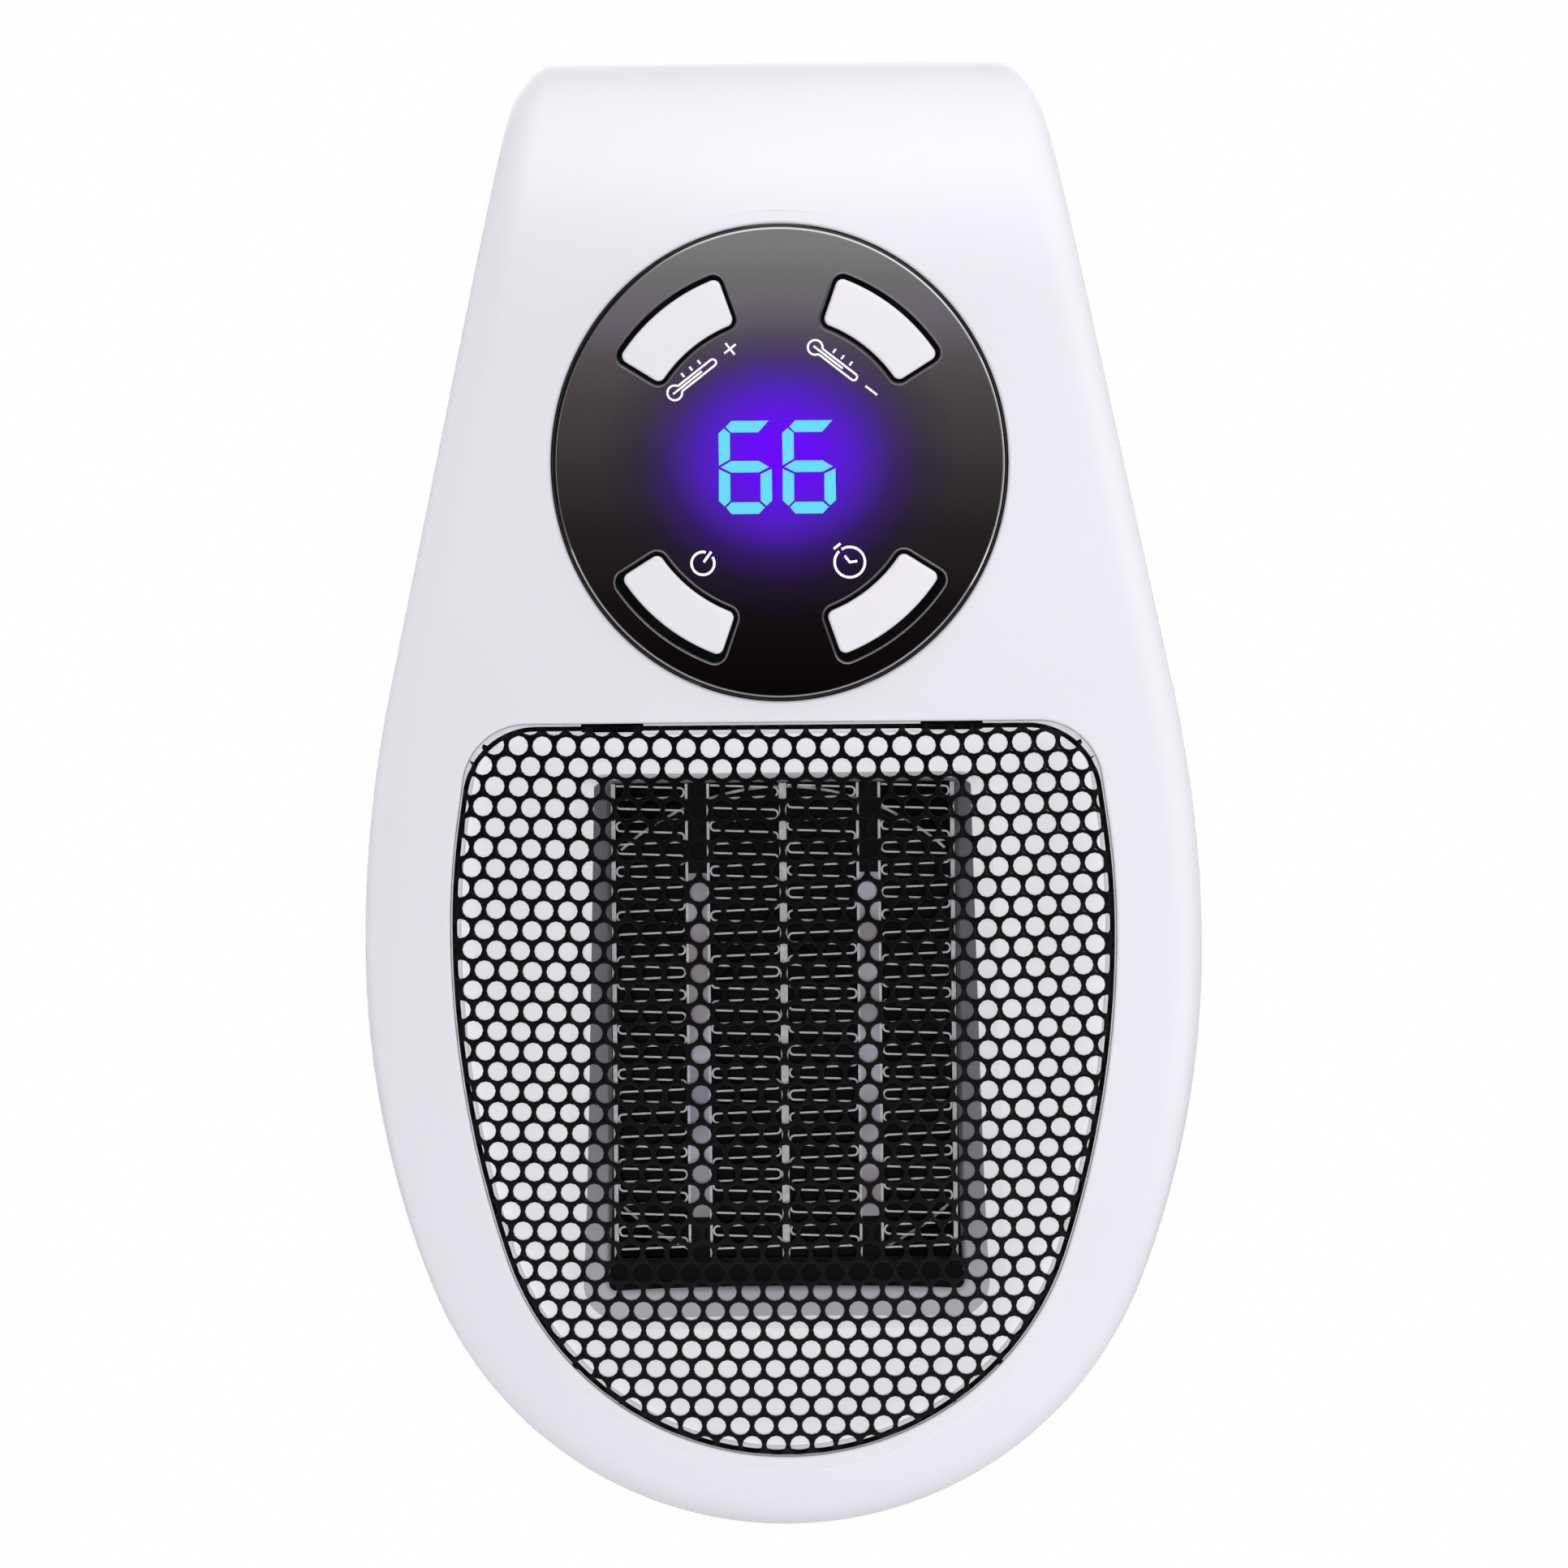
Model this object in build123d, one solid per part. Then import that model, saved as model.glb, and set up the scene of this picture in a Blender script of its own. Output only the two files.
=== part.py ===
"""Plug-in fan heater: a wall-plug housing with a display panel and a ceramic heater core.

The frame is +Z up and the wall is on the +Y side. The origin is the centre of the plug's
end face, between the two pins. "Depth" counts from there towards the room, along -Y.
"""
from build123d import *
import math
import os

# One overrun serves every cut
overrun = 5.0

# Housing seen from the front
top_height = 31.0
bottom_drop = 139.0
hip_drop = 72.0
hip_half_width = 48.5
side_lean_angle = 11.9
waist_radius = 144.0
chin_radius = 44.2

# Housing seen from the side and from above
rear_depth = 22.0
front_depth = 88.0
parting_depth = 44.0
brow_radius = 30.0
belly_drop = 20.0
belly_radius = 270.0
crown_radius = 150.0
crown_sweep_angle = 80
belly_band_count = 6
brow_band_count = 8
crown_band_count = 12
edge_round = 6.0
rear_round = 5.0
wall = 2.2
lip_depth = 2.0
lip_wall = 1.1
lip_gap = 0.1
seam_gap = 0.3

# Case posts, which the case screws join from behind
case_post_radius = 3.6
case_counterbore_radius = 2.7
case_counterbore = 10.0
upper_post_x = 33.0
upper_post_drop = 33.0
lower_post_x = 35.0
lower_post_drop = 92.0

# Plug and its swivel
pin_radius = 2.4
pin_length = 19.0
pin_spacing = 19.0
pin_root = 12.0
pin_root_radius = 2.0
pin_relief_gap = 0.1
pin_relief = 0.5
pin_tip_bevel = 1.2
boss_radius = 18.5
boss_length = 16.0
boss_bevel = 1.0
clip_notch_width = 8.0
clip_notch = 3.0
shoulder_radius = 23.0
shoulder_bevel = 1.2
neck_radius = 20.0
neck_clearance = 0.08
swivel_play = 0.1
plug_bore_radius = 13.0
retainer_radius = 24.0
retainer_wall = 1.8

# Control panel, buttons and display
panel_drop = 16.0
panel_half_width = 26.25
panel_half_height = 27.4
panel_rise = 0.6
panel_bed = 3.2
panel_gap = 0.15
panel_ledge = 1.5
panel_seat_wall = 2.0
ring_drop = 16.5
ring_inner_radius = 17.0
ring_outer_radius = 22.2
ring_shift_x = 0.4
ring_shift_z = 0.85
button_turn_angle = 51.4
button_half_angle = 19.3
button_corner = 0.85
button_gap = 0.42
button_rise = 1.1
button_flange_lap = 0.7
button_flange = 0.9
button_flange_play = 0.1
button_stem_radius = 1.5
plunger_radius = 1.7
plunger_clearance = 0.08
plunger_length = 2.0
plunger_show = 0.8
plunger_travel = 0.8
plunger_floor = 0.2
tact_side = 6.0
tact_height = 3.5
display_width = 24.0
display_height = 16.0
display_setback = 3.4
display_block = 6.6
digit_width = 6.2
digit_height = 10.88
digit_stroke = 1.17
digit_pitch = 7.36
digit_gap = 0.14
digit_depth = 0.6
control_board_width = 56.0
control_board_height = 50.0
control_board_round = 4.0
board_wall = 1.6
board_post_radius = 2.2
board_post_x = 24.8
board_post_rise = 21.6

# Outlet grille and the tray behind it
grille_top_drop = 46.6
grille_bottom_drop = 130.9
grille_hip_drop = 70.0
grille_half_width = 38.3
grille_waist_radius = 90.0
grille_lean_angle = 8.0
grille_chin_radius = 34.0
grille_corner = 6.5
grille_inset = 0.4
grille_sheet = 0.6
grille_skirt_wall = 0.7
grille_border = 1.5
grille_pitch = 5.8
grille_hole_radius = 2.25
grille_tab_x = 19.6
grille_tab_width = 7.0
grille_tab_wall = 0.8
grille_tab_reach = 2.4
grille_tab_setback = 3.4
grille_tab_gap = 0.2
opening_gap = 0.85
tray_bed = 7.4
tray_wall = 1.6

# Throat and heater core
throat_half_width = 21.2
throat_top_gap = 1.3
throat_bottom_gap = 3.2
flare_side = 6.8
flare_top = 1.8
flare_bottom = 34.0
heater_front_depth = 59.5
heater_frame_wall = 2.0
heater_frame_length = 10.5
core_top_drop = 53.0
core_height = 55.0
core_length = 9.6
core_setback = 0.4
fin_width = 8.1
fin_thickness = 0.22
fin_passes_count = 42
fin_slope_share = 0.22
centre_plate = 0.85
inner_plate = 0.3
outer_plate = 0.5
ptc_bar_width = 2.2
upper_insulator = 10.4
lower_insulator = 4.7
terminal_width = 4.8
terminal_wall = 0.8
terminal_reach = 7.0
cutout_radius = 3.2
cutout_length = 9.0

# Fan and motor
fan_frame_width = 62.0
fan_frame_height = 64.0
fan_frame_length = 11.5
fan_frame_round = 4.0
fan_bore_radius = 28.2
fan_tip_radius = 27.0
fan_hub_radius = 9.5
fan_hub_length = 7.0
fan_hub_wall = 1.6
fan_hub_bevel = 1.4
fan_blade_count = 7
fan_blade_wall = 1.3
fan_blade_length = 7.0
fan_blade_angle = 38.0
fan_front_gap = 1.5
fan_post_x = 26.8
fan_post_rise = 27.8
fan_post_radius = 3.0
motor_radius = 14.0
motor_length = 10.5
motor_cup_wall = 1.8
motor_cup_length = 7.0
motor_front_gap = 2.6
motor_boss_radius = 4.0
motor_boss = 1.2
strut_width = 2.6
strut_wall = 2.0
strut_count = 4
shaft_radius = 1.5
shaft_clearance = 0.05
shaft_tail = 1.0

# Air intake in the rear shell
intake_radius = 26.0
intake_slot = 2.6
intake_pitch = 4.9
intake_slot_pairs = 4

# Power board behind the control board
power_board_width = 54.0
power_board_height = 46.0
power_board_rise = 0.0
power_board_depth = 33.0
power_post_radius = 2.2
power_post_x = 24.0
power_post_rise = 20.0
capacitor_size = (17.5, 14.0, 8.5)
capacitor_place = (-14.0, 12.0)
relay_size = (18.6, 15.3, 15.2)
relay_place = (12.0, 11.0)
block_size = (20.0, 11.0, 8.0)
block_place = (0.0, -14.0)

# Main rocker switch in the rear shell
rocker_drop = 38.5
rocker_bezel_width = 21.0
rocker_bezel_height = 15.0
rocker_bezel = 1.6
rocker_body_width = 18.8
rocker_body_height = 12.8
rocker_body_length = 13.0
rocker_radius = 7.9
rocker_width = 9.4
rocker_side_gap = 0.35
rocker_end_gap = 0.45
rocker_pivot_depth = 24.4
rocker_tilt_angle = 8.0
rocker_skirt = 3.2
rocker_crest = 3.0
trunnion_radius = 1.2
trunnion_clearance = 0.05
trunnion_length = 0.9
rocker_tab_width = 4.8
rocker_tab_wall = 0.8
rocker_tab_reach = 6.0
rocker_tab_pitch = 6.5

# Set-backs of the bevels that follow a round, as shares of its radius
bevel_share = 0.586
small_bevel_share = 0.2

# Places that follow from the sizes above
front_end = front_depth + overrun
crown_y = crown_radius - front_depth
boss_end = boss_length
shoulder_end = rear_depth - swivel_play
neck_end = rear_depth + wall + swivel_play
heater_back_depth = heater_front_depth - heater_frame_length
core_bottom_drop = core_top_drop + core_height
throat_top_drop = core_top_drop - throat_top_gap
throat_bottom_drop = core_bottom_drop + throat_bottom_gap
fan_drop = (throat_top_drop + throat_bottom_drop) / 2
fan_front_depth = heater_back_depth
fan_back_depth = fan_front_depth - fan_frame_length
blade_front_depth = fan_front_depth - fan_front_gap
blade_back_depth = blade_front_depth - fan_blade_length
motor_front_depth = blade_back_depth - motor_front_gap
motor_back_depth = motor_front_depth - motor_length
display_front_depth = front_depth - display_setback
board_front_depth = display_front_depth - display_block
panel_back_depth = front_depth - panel_bed
flange_front_depth = panel_back_depth - button_flange_play
flange_back_depth = flange_front_depth - button_flange
plunger_front_depth = board_front_depth + tact_height + plunger_show
core_half_width = centre_plate / 2 + 2 * fin_width + 2 * inner_plate + ptc_bar_width + outer_plate


def slab(face, start, end):
    """Raise a face, drawn as seen from the room, from one depth to another."""
    return extrude(Plane.XZ.offset(start) * face, end - start, dir=(0, -1, 0))


def post(x, z, radius, start, end):
    return slab(Pos(x, z) * Circle(radius), start, end)


def pillar(x, z, radius, start, end):
    """A square post."""
    return block(2 * radius, 2 * radius, x, z, start, end)


def block(width, height, x, z, start, end, corner=0.0):
    face = RectangleRounded(width, height, corner) if corner else Rectangle(width, height)
    return slab(Pos(x, z) * face, start, end)


def polar(centre, radius, angle):
    turn = math.radians(angle)
    return (centre[0] + radius * math.cos(turn), centre[1] + radius * math.sin(turn))


def joined(shapes):
    total = shapes[0]
    for shape in shapes[1:]:
        total = total + shape
    return total


# Outlines and forms that the housing, the grille and the tray share


def pear_face(inset, top, bottom, hip, half_width, chin, waist, lean, corner):
    """A flat top and leaning sides, widest at the hip and round at the chin.

    Every stretch is an arc or a line, tangent to the next, and an inset keeps the centres.
    """
    chin_centre = (0, bottom + chin)
    rise = chin_centre[1] - hip
    hip_radius = (half_width ** 2 + rise ** 2 - chin ** 2) / (2 * (half_width - chin))
    hip_centre = (half_width - hip_radius, hip)
    waist_centre = (half_width - waist, hip)
    turn = math.degrees(math.atan2(rise, hip_radius - half_width))
    low = CenterArc(chin_centre, chin - inset, -90, 90 + turn)
    middle = CenterArc(hip_centre, hip_radius - inset, turn, -turn)
    high = CenterArc(waist_centre, waist - inset, 0, lean)
    start = polar(waist_centre, waist - inset, lean)
    across, along = polar((0, 0), 1, lean)
    reach = across * start[0] + along * start[1]
    if corner:
        round_radius = corner - inset
        centre_z = top - corner
        centre_x = (reach - round_radius - along * centre_z) / across
        foot = polar((centre_x, centre_z), round_radius, lean)
        tip = (centre_x, top - inset)
        upper = [Line(start, foot), CenterArc((centre_x, centre_z), round_radius, lean, 90 - lean)]
    else:
        tip = ((reach - along * (top - inset)) / across, top - inset)
        upper = [Line(start, tip)]
    half = [low, middle, high, *upper]
    other = [mirror(edge, about=Plane.YZ) for edge in half]
    return make_face([*half, *other, Line(tip, (-tip[0], tip[1]))])


def housing_face(inset=0.0, corner=edge_round):
    return pear_face(inset, top_height, -bottom_drop, -hip_drop, hip_half_width, chin_radius,
                     waist_radius, side_lean_angle, corner)


def grille_face(inset=0.0):
    return pear_face(inset, -grille_top_drop, -grille_bottom_drop, -grille_hip_drop,
                     grille_half_width, grille_chin_radius, grille_waist_radius,
                     grille_lean_angle, grille_corner)


def arc_points(centre, radius, first, last, bands):
    """The corners of short straight bands that follow an arc, with their middles on it."""
    step = (last - first) / bands
    reach = radius / math.cos(math.radians(step / 2))
    inner = [polar(centre, reach, first + step * band) for band in range(1, bands)]
    return [polar(centre, radius, first), *inner, polar(centre, radius, last)]


def front_curves(inset):
    """Centre, radius and both end angles of the brow and of the belly, in the side profile.

    The profile's first place is the distance from the crown's upright axis.
    """
    brow_centre = (crown_radius - brow_radius, top_height - brow_radius)
    belly_centre = (crown_radius - belly_radius, -belly_drop)
    reach = bottom_drop + overrun - belly_drop
    sweep = math.degrees(math.asin(reach / (belly_radius - inset)))
    return (brow_centre, brow_radius - inset, 90, 0), (belly_centre, belly_radius - inset, 0, -sweep)


def smooth_front_body():
    """All that lies behind the housing's front: the side profile turned about the crown's axis."""
    brow_curve, belly_curve = front_curves(0.0)
    brow = CenterArc(*brow_curve[:3], brow_curve[3] - brow_curve[2])
    belly = CenterArc(*belly_curve[:3], belly_curve[3] - belly_curve[2])
    low = (belly @ 1).Y
    front = Line(brow @ 1, belly @ 0)
    rest = Polyline(belly @ 1, (0, low), (0, top_height), brow @ 0)
    profile = make_face([*brow.edges(), *front.edges(), *belly.edges(), *rest.edges()])
    profile = Plane(origin=(0, crown_y, 0), x_dir=(0, -1, 0), z_dir=(-1, 0, 0)) * profile
    axis = Axis((0, crown_y, 0), (0, 0, 1))
    return revolve(profile.rotate(axis, -crown_sweep_angle / 2), axis, crown_sweep_angle)


def front_body(inset):
    """The same at an inset, in flat facets: for all surfaces but the housing's outside."""
    brow_curve, belly_curve = front_curves(inset)
    profile = arc_points(*brow_curve, brow_band_count) + arc_points(*belly_curve, belly_band_count)
    profile = [(0, profile[0][1]), *profile, (0, profile[-1][1])]
    half_step = math.radians(crown_sweep_angle / crown_band_count / 2)
    columns = []
    for band in range(crown_band_count + 1):
        turn = -crown_sweep_angle / 2 + crown_sweep_angle * band / crown_band_count
        column = []
        for reach, height in profile:
            x, y = polar((0, 0), reach / math.cos(half_step), turn - 90)
            column.append((x, crown_y + y, height))
        columns.append(column)
    faces = [facet(columns[0]), facet(columns[-1])]
    faces.append(facet([column[1] for column in columns] + [columns[0][0]]))
    faces.append(facet([column[-2] for column in columns] + [columns[0][-1]]))
    for near, far in zip(columns, columns[1:]):
        for row in range(1, len(profile) - 2):
            faces.append(facet([near[row], far[row], far[row + 1], near[row + 1]]))
    return Solid(Shell(faces))


def facet(points):
    return Face(Wire.make_polygon(points))


def front_at(x, z, inset=0.0):
    """Depth of the front surface, or of one that lies an inset below it."""
    brow_z = top_height - brow_radius
    depth = front_depth - inset
    if z > brow_z:
        depth += math.sqrt((brow_radius - inset) ** 2 - (z - brow_z) ** 2) - brow_radius + inset
    if z < -belly_drop:
        drop = z + belly_drop
        depth += math.sqrt((belly_radius - inset) ** 2 - drop ** 2) - belly_radius + inset
    return math.sqrt((crown_y + depth) ** 2 - x ** 2) - crown_y


def housing_form():
    """The whole housing as one solid, its rounded edges followed by flat bevels."""
    body = slab(housing_face(0.0, 0.0), rear_depth, front_end) & smooth_front_body()
    body = chamfer(body.edges().filter_by(is_front_crease), bevel_share * edge_round)
    bevels = body.faces().filter_by(is_bevel)
    rims = [edge for face in bevels for edge in face.edges() if is_rim(edge, bevels)]
    body = chamfer(rims, small_bevel_share * edge_round)
    return chamfer(body.edges().filter_by(is_rear_edge), bevel_share * rear_round)


def cavity_form():
    """The room inside the walls, stepped in along its edges so that the walls stay thick."""
    step = bevel_share * edge_round + (math.sqrt(2) - 2) * wall
    wide = slab(housing_face(wall), rear_depth + wall, front_end) & front_body(wall + step)
    tall = slab(housing_face(wall + step), rear_depth + wall, front_end) & front_body(wall)
    return wide + tall


def is_front_crease(edge):
    """The crease that runs over the top corners, down the sides and round the chin."""
    middle = edge @ 0.5
    runs_back = abs((edge @ 0).Y - (edge @ 1).Y) > wall
    if edge.geom_type == GeomType.LINE:
        return runs_back and middle.Z > top_height - seam_gap
    smooth_seam = abs(middle.X) < wall and middle.Z > wall - bottom_drop
    return not is_rear_edge(edge) and not smooth_seam


def is_rear_edge(edge):
    return abs(-(edge @ 0).Y - rear_depth) < seam_gap and abs(-(edge @ 1).Y - rear_depth) < seam_gap


def is_bevel(face):
    """A face that the front crease's bevel has made."""
    normal = face.normal_at()
    corner = min(abs(normal.X), abs(normal.Z)) > bevel_share / 2
    return face.geom_type == GeomType.BSPLINE or (face.geom_type == GeomType.PLANE and corner)


def is_rim(edge, bevels):
    """The edge belongs to one bevel only, and does not lie at the rear."""
    owners = [face for face in bevels if any(edge.is_same(other) for other in face.edges())]
    return len(owners) == 1 and not is_rear_edge(edge)


whole_form = housing_form()
inner_form = cavity_form()
wide_face = Rectangle(4 * hip_half_width, 4 * bottom_drop)


# Plug


def plug_base():
    """The turning plug: boss, shoulder and neck, with notches for the socket's earth clips."""
    boss = chamfer(post(0, 0, boss_radius, 0, boss_end).edges().sort_by(Axis.Y)[-1], boss_bevel)
    shoulder = post(0, 0, shoulder_radius, boss_end, shoulder_end)
    shoulder = chamfer(shoulder.edges().sort_by(Axis.Y)[-1], shoulder_bevel)
    neck = post(0, 0, neck_radius, shoulder_end, neck_end)
    base = boss + shoulder + neck
    for side in (1, -1):
        notch_z = side * (boss_radius - clip_notch / 2)
        base -= block(clip_notch_width, clip_notch, 0, notch_z, 0, boss_end)
        base -= post(side * pin_spacing / 2, 0, pin_root_radius, 0, pin_root)
        base -= post(side * pin_spacing / 2, 0, pin_radius + pin_relief_gap, 0, pin_relief)
    return base - post(0, 0, plug_bore_radius, pin_root, neck_end)


def pin(x):
    """A round contact pin, with its slimmer root inside the boss."""
    body = post(x, 0, pin_radius, -pin_length, 0) + post(x, 0, pin_root_radius, 0, pin_root)
    return chamfer(body.edges().sort_by(Axis.Y)[-1], pin_tip_bevel)


def swivel_retainer():
    """The ring inside the housing that keeps the plug's neck in the rear wall."""
    ring = post(0, 0, retainer_radius, neck_end, neck_end + retainer_wall)
    return ring - post(0, 0, plug_bore_radius, neck_end, neck_end + retainer_wall)


# Housing shells


def case_post_places():
    upper = [(side * upper_post_x, -upper_post_drop) for side in (-1, 1)]
    lower = [(side * lower_post_x, -lower_post_drop) for side in (-1, 1)]
    return upper, lower


def oval_face(inset=0.0):
    return Pos(0, -panel_drop) * Ellipse(panel_half_width - inset, panel_half_height - inset)


def front_shell():
    """The room side of the housing, open at the panel and at the grille."""
    shell = (whole_form - inner_form) & slab(wide_face, parting_depth, front_end)
    tongue = housing_face(wall - lip_wall) - housing_face(wall)
    shell += slab(tongue, parting_depth - lip_depth, parting_depth)
    for place in case_post_places()[0]:
        shell += post(*place, case_post_radius, parting_depth, front_end) & inner_form
    for place in board_post_places():
        shell += pillar(*place, board_post_radius, board_front_depth, front_end) & inner_form
    seat_face = oval_face(-panel_seat_wall) - grille_face(-opening_gap - tray_wall - seam_gap)
    seat = slab(seat_face, panel_back_depth - panel_seat_wall, front_end)
    shell += seat & inner_form
    shell -= slab(oval_face(-panel_gap), panel_back_depth, front_end)
    shell -= slab(oval_face(panel_ledge), parting_depth, front_end)
    return shell - slab(grille_face(-opening_gap), parting_depth, front_end)


def board_post_places():
    columns = (-board_post_x, board_post_x)
    rows = (board_post_rise - panel_drop, -board_post_rise - panel_drop)
    return [(x, z) for x in columns for z in rows]


def rear_shell():
    """The wall side of the housing, with the plug's seat, the switch and the air intake."""
    shell = (whole_form - inner_form) & slab(wide_face, 0, parting_depth)
    upper, lower = case_post_places()
    for place in [*upper, *lower]:
        shell += post(*place, case_post_radius, rear_depth + wall / 2, parting_depth)
        shell -= post(*place, case_counterbore_radius, rear_depth, rear_depth + case_counterbore)
    for place in fan_post_places():
        shell += pillar(*place, fan_post_radius, rear_depth + wall / 2, fan_back_depth)
    for place in power_post_places():
        shell += pillar(*place, power_post_radius, rear_depth + wall / 2, power_board_depth)
    rebate = housing_face(wall - lip_wall - lip_gap)
    rebate = slab(rebate, parting_depth - lip_depth - lip_gap, parting_depth)
    rebate -= slab(housing_face(wall), 0, parting_depth)
    seam = slab(wide_face, parting_depth - seam_gap, parting_depth)
    seam -= slab(housing_face(wall), 0, parting_depth)
    shell = shell - rebate - seam
    shell -= post(0, 0, neck_radius + neck_clearance, 0, parting_depth)
    shell -= block(rocker_body_width, rocker_body_height, 0, -rocker_drop, 0, parting_depth)
    return shell - slab(intake_slots(), 0, rear_depth + wall)


def intake_slots():
    """Upright slots whose ends follow a circle round the fan's axis."""
    slots = []
    for step in range(-intake_slot_pairs, intake_slot_pairs + 1):
        x = step * intake_pitch
        height = 2 * math.sqrt(intake_radius ** 2 - x ** 2)
        slots.append(Pos(x, -fan_drop) * Rectangle(intake_slot, height))
    return joined(slots)


# Control panel, its four buttons and the display


def ring_centre(turn):
    """The ring is a little taller than wide, so each quarter has a centre of its own."""
    across, along = polar((0, 0), 1, turn)
    shift_x = -math.copysign(ring_shift_x, across)
    return (shift_x, math.copysign(ring_shift_z, along) - ring_drop)


def button_face(turn, grow=0.0, corner=button_corner):
    """One sector of the button ring, grown on every side."""
    centre = ring_centre(turn)
    inner = ring_inner_radius - grow
    outer = ring_outer_radius + grow
    spread = button_half_angle + math.degrees(2 * grow / (inner + outer))
    first = turn - spread
    last = turn + spread
    edges = [
        CenterArc(centre, inner, first, 2 * spread),
        CenterArc(centre, outer, first, 2 * spread),
        Line(polar(centre, inner, first), polar(centre, outer, first)),
        Line(polar(centre, inner, last), polar(centre, outer, last)),
    ]
    face = Sketch() + make_face(edges)
    return fillet(face.vertices(), corner + grow) if corner else face


button_turns = {
    "button_warmer": 180 - button_turn_angle,
    "button_cooler": button_turn_angle,
    "button_power": 180 + button_turn_angle,
    "button_timer": -button_turn_angle,
}


def button_place(turn):
    return polar(ring_centre(turn), (ring_inner_radius + ring_outer_radius) / 2, turn)


def button(turn):
    """A cap that stands proud of the panel, with a flange behind it and a stem to its switch."""
    cap = slab(button_face(turn), flange_front_depth, front_end) & front_body(-button_rise)
    flange_face = button_face(turn, button_gap + button_flange_lap, 0.0)
    flange = slab(flange_face, flange_back_depth, flange_front_depth)
    stem = post(*button_place(turn), button_stem_radius, plunger_front_depth, flange_back_depth)
    return cap + flange + stem


def plunger(turn):
    place = button_place(turn)
    return post(*place, plunger_radius, plunger_front_depth - plunger_length, plunger_front_depth)


def control_panel():
    """The smoked oval lens, flat behind, with its front following the housing's surface."""
    lens = slab(oval_face(), panel_back_depth, front_end) & front_body(-panel_rise)
    for turn in button_turns.values():
        lens -= slab(button_face(turn, button_gap), panel_back_depth, front_end)
    return lens


def control_board():
    board_back = board_front_depth - board_wall
    return block(control_board_width, control_board_height, 0, -panel_drop, board_back,
                 board_front_depth, control_board_round)


def tact_switches():
    switches = []
    hole_end = plunger_front_depth - plunger_length - plunger_travel - plunger_floor
    hole_radius = plunger_radius + plunger_clearance
    for turn in button_turns.values():
        place = button_place(turn)
        top = board_front_depth + tact_height
        switch = block(tact_side, tact_side, *place, board_front_depth, top)
        switches.append(switch - post(*place, hole_radius, hole_end, top))
    return joined(switches)


def digit_bars(x):
    """The seven bars of one digit, mitred where they meet."""
    side = digit_width / 2
    high = digit_height / 2
    stroke = digit_stroke
    half = digit_stroke / 2
    gap = digit_gap
    lid = [(gap - side, high), (side - gap, high), (side - stroke - gap, high - stroke),
           (stroke + gap - side, high - stroke)]
    post_bar = [(-side, high - gap), (stroke - side, high - stroke - gap),
                (stroke - side, half + gap), (half - side, gap), (-side, half)]
    middle = [(half + gap - side, 0), (stroke + gap - side, half), (side - stroke - gap, half),
              (side - half - gap, 0), (side - stroke - gap, -half), (stroke + gap - side, -half)]
    bars = [Polygon(*middle, align=None)]
    for flip_z in (1, -1):
        bars.append(Polygon(*[(px, flip_z * pz) for px, pz in lid], align=None))
        for flip_x in (1, -1):
            points = [(flip_x * px, flip_z * pz) for px, pz in post_bar]
            bars.append(Polygon(*points, align=None))
    return [Pos(x, -ring_drop) * bar for bar in bars]


def digit_segments():
    bars = [bar for side in (-1, 1) for bar in digit_bars(side * digit_pitch / 2)]
    start = display_front_depth - digit_depth
    return joined([slab(bar, start, display_front_depth) for bar in bars])


def display_module():
    return block(display_width, display_height, 0, -ring_drop, board_front_depth,
                 display_front_depth - digit_depth)


# Outlet: grille, tray and throat


def grille_mesh():
    """A domed perforated sheet with a folded skirt that stands on the tray, and two top tabs."""
    outer = front_body(grille_inset)
    sheet = (slab(grille_face(), 0, front_end) & outer) - front_body(grille_inset + grille_sheet)
    ring = grille_face() - grille_face(grille_skirt_wall)
    skirt = (slab(ring, 0, front_end) & outer) - front_body(tray_bed)
    sheet = sheet + skirt + grille_tabs(0.0)
    return sheet - slab(grille_holes(), 0, front_end)


def grille_tabs(gap):
    """Two tabs that stick up through the tray's rim, or their slots when a gap is given."""
    base = -grille_top_drop - grille_skirt_wall
    height = grille_skirt_wall + grille_tab_reach + 2 * gap
    middle = base + height / 2 - gap
    surface = front_at(grille_tab_x, -grille_top_drop, grille_inset)
    start = surface - grille_tab_setback - grille_tab_wall - gap
    width = grille_tab_width + 2 * gap
    end = start + grille_tab_wall + 2 * gap
    return joined([block(width, height, side * grille_tab_x, middle, start, end) for side in (-1, 1)])


def grille_holes():
    """Staggered holes that fill the grille's outline inside a plain border."""
    row_pitch = grille_pitch * math.sqrt(3) / 2
    field = grille_face(grille_border + grille_hole_radius)
    hole = RegularPolygon(grille_hole_radius, 6, rotation=30)
    middle = -(grille_top_drop + grille_bottom_drop) / 2
    rows = math.ceil((grille_bottom_drop - grille_top_drop) / row_pitch / 2)
    columns = math.ceil(grille_half_width / grille_pitch)
    holes = []
    for row in range(-rows, rows + 1):
        shift = grille_pitch / 2 * (row % 2)
        for column in range(-columns - 1, columns + 1):
            place = (column * grille_pitch + shift, middle + row * row_pitch)
            if field.is_inside((*place, 0)):
                holes.append(Pos(*place) * hole)
    return Sketch() + holes


def throat_form(grow):
    """The flared throat from the heater to the tray, with its walls grown outwards."""
    middle = -(throat_top_drop + throat_bottom_drop) / 2
    height = throat_bottom_drop - throat_top_drop + 2 * grow
    inner = Rectangle(2 * (throat_half_width + grow), height)
    mouth = Rectangle(2 * (throat_half_width + flare_side + grow), height + flare_top + flare_bottom)
    mouth_middle = middle + (flare_top - flare_bottom) / 2
    near = Plane.XZ.offset(heater_front_depth) * (Pos(0, middle) * inner)
    far = Plane.XZ.offset(front_depth) * (Pos(0, mouth_middle) * mouth)
    return loft([near, far], ruled=True)


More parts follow.
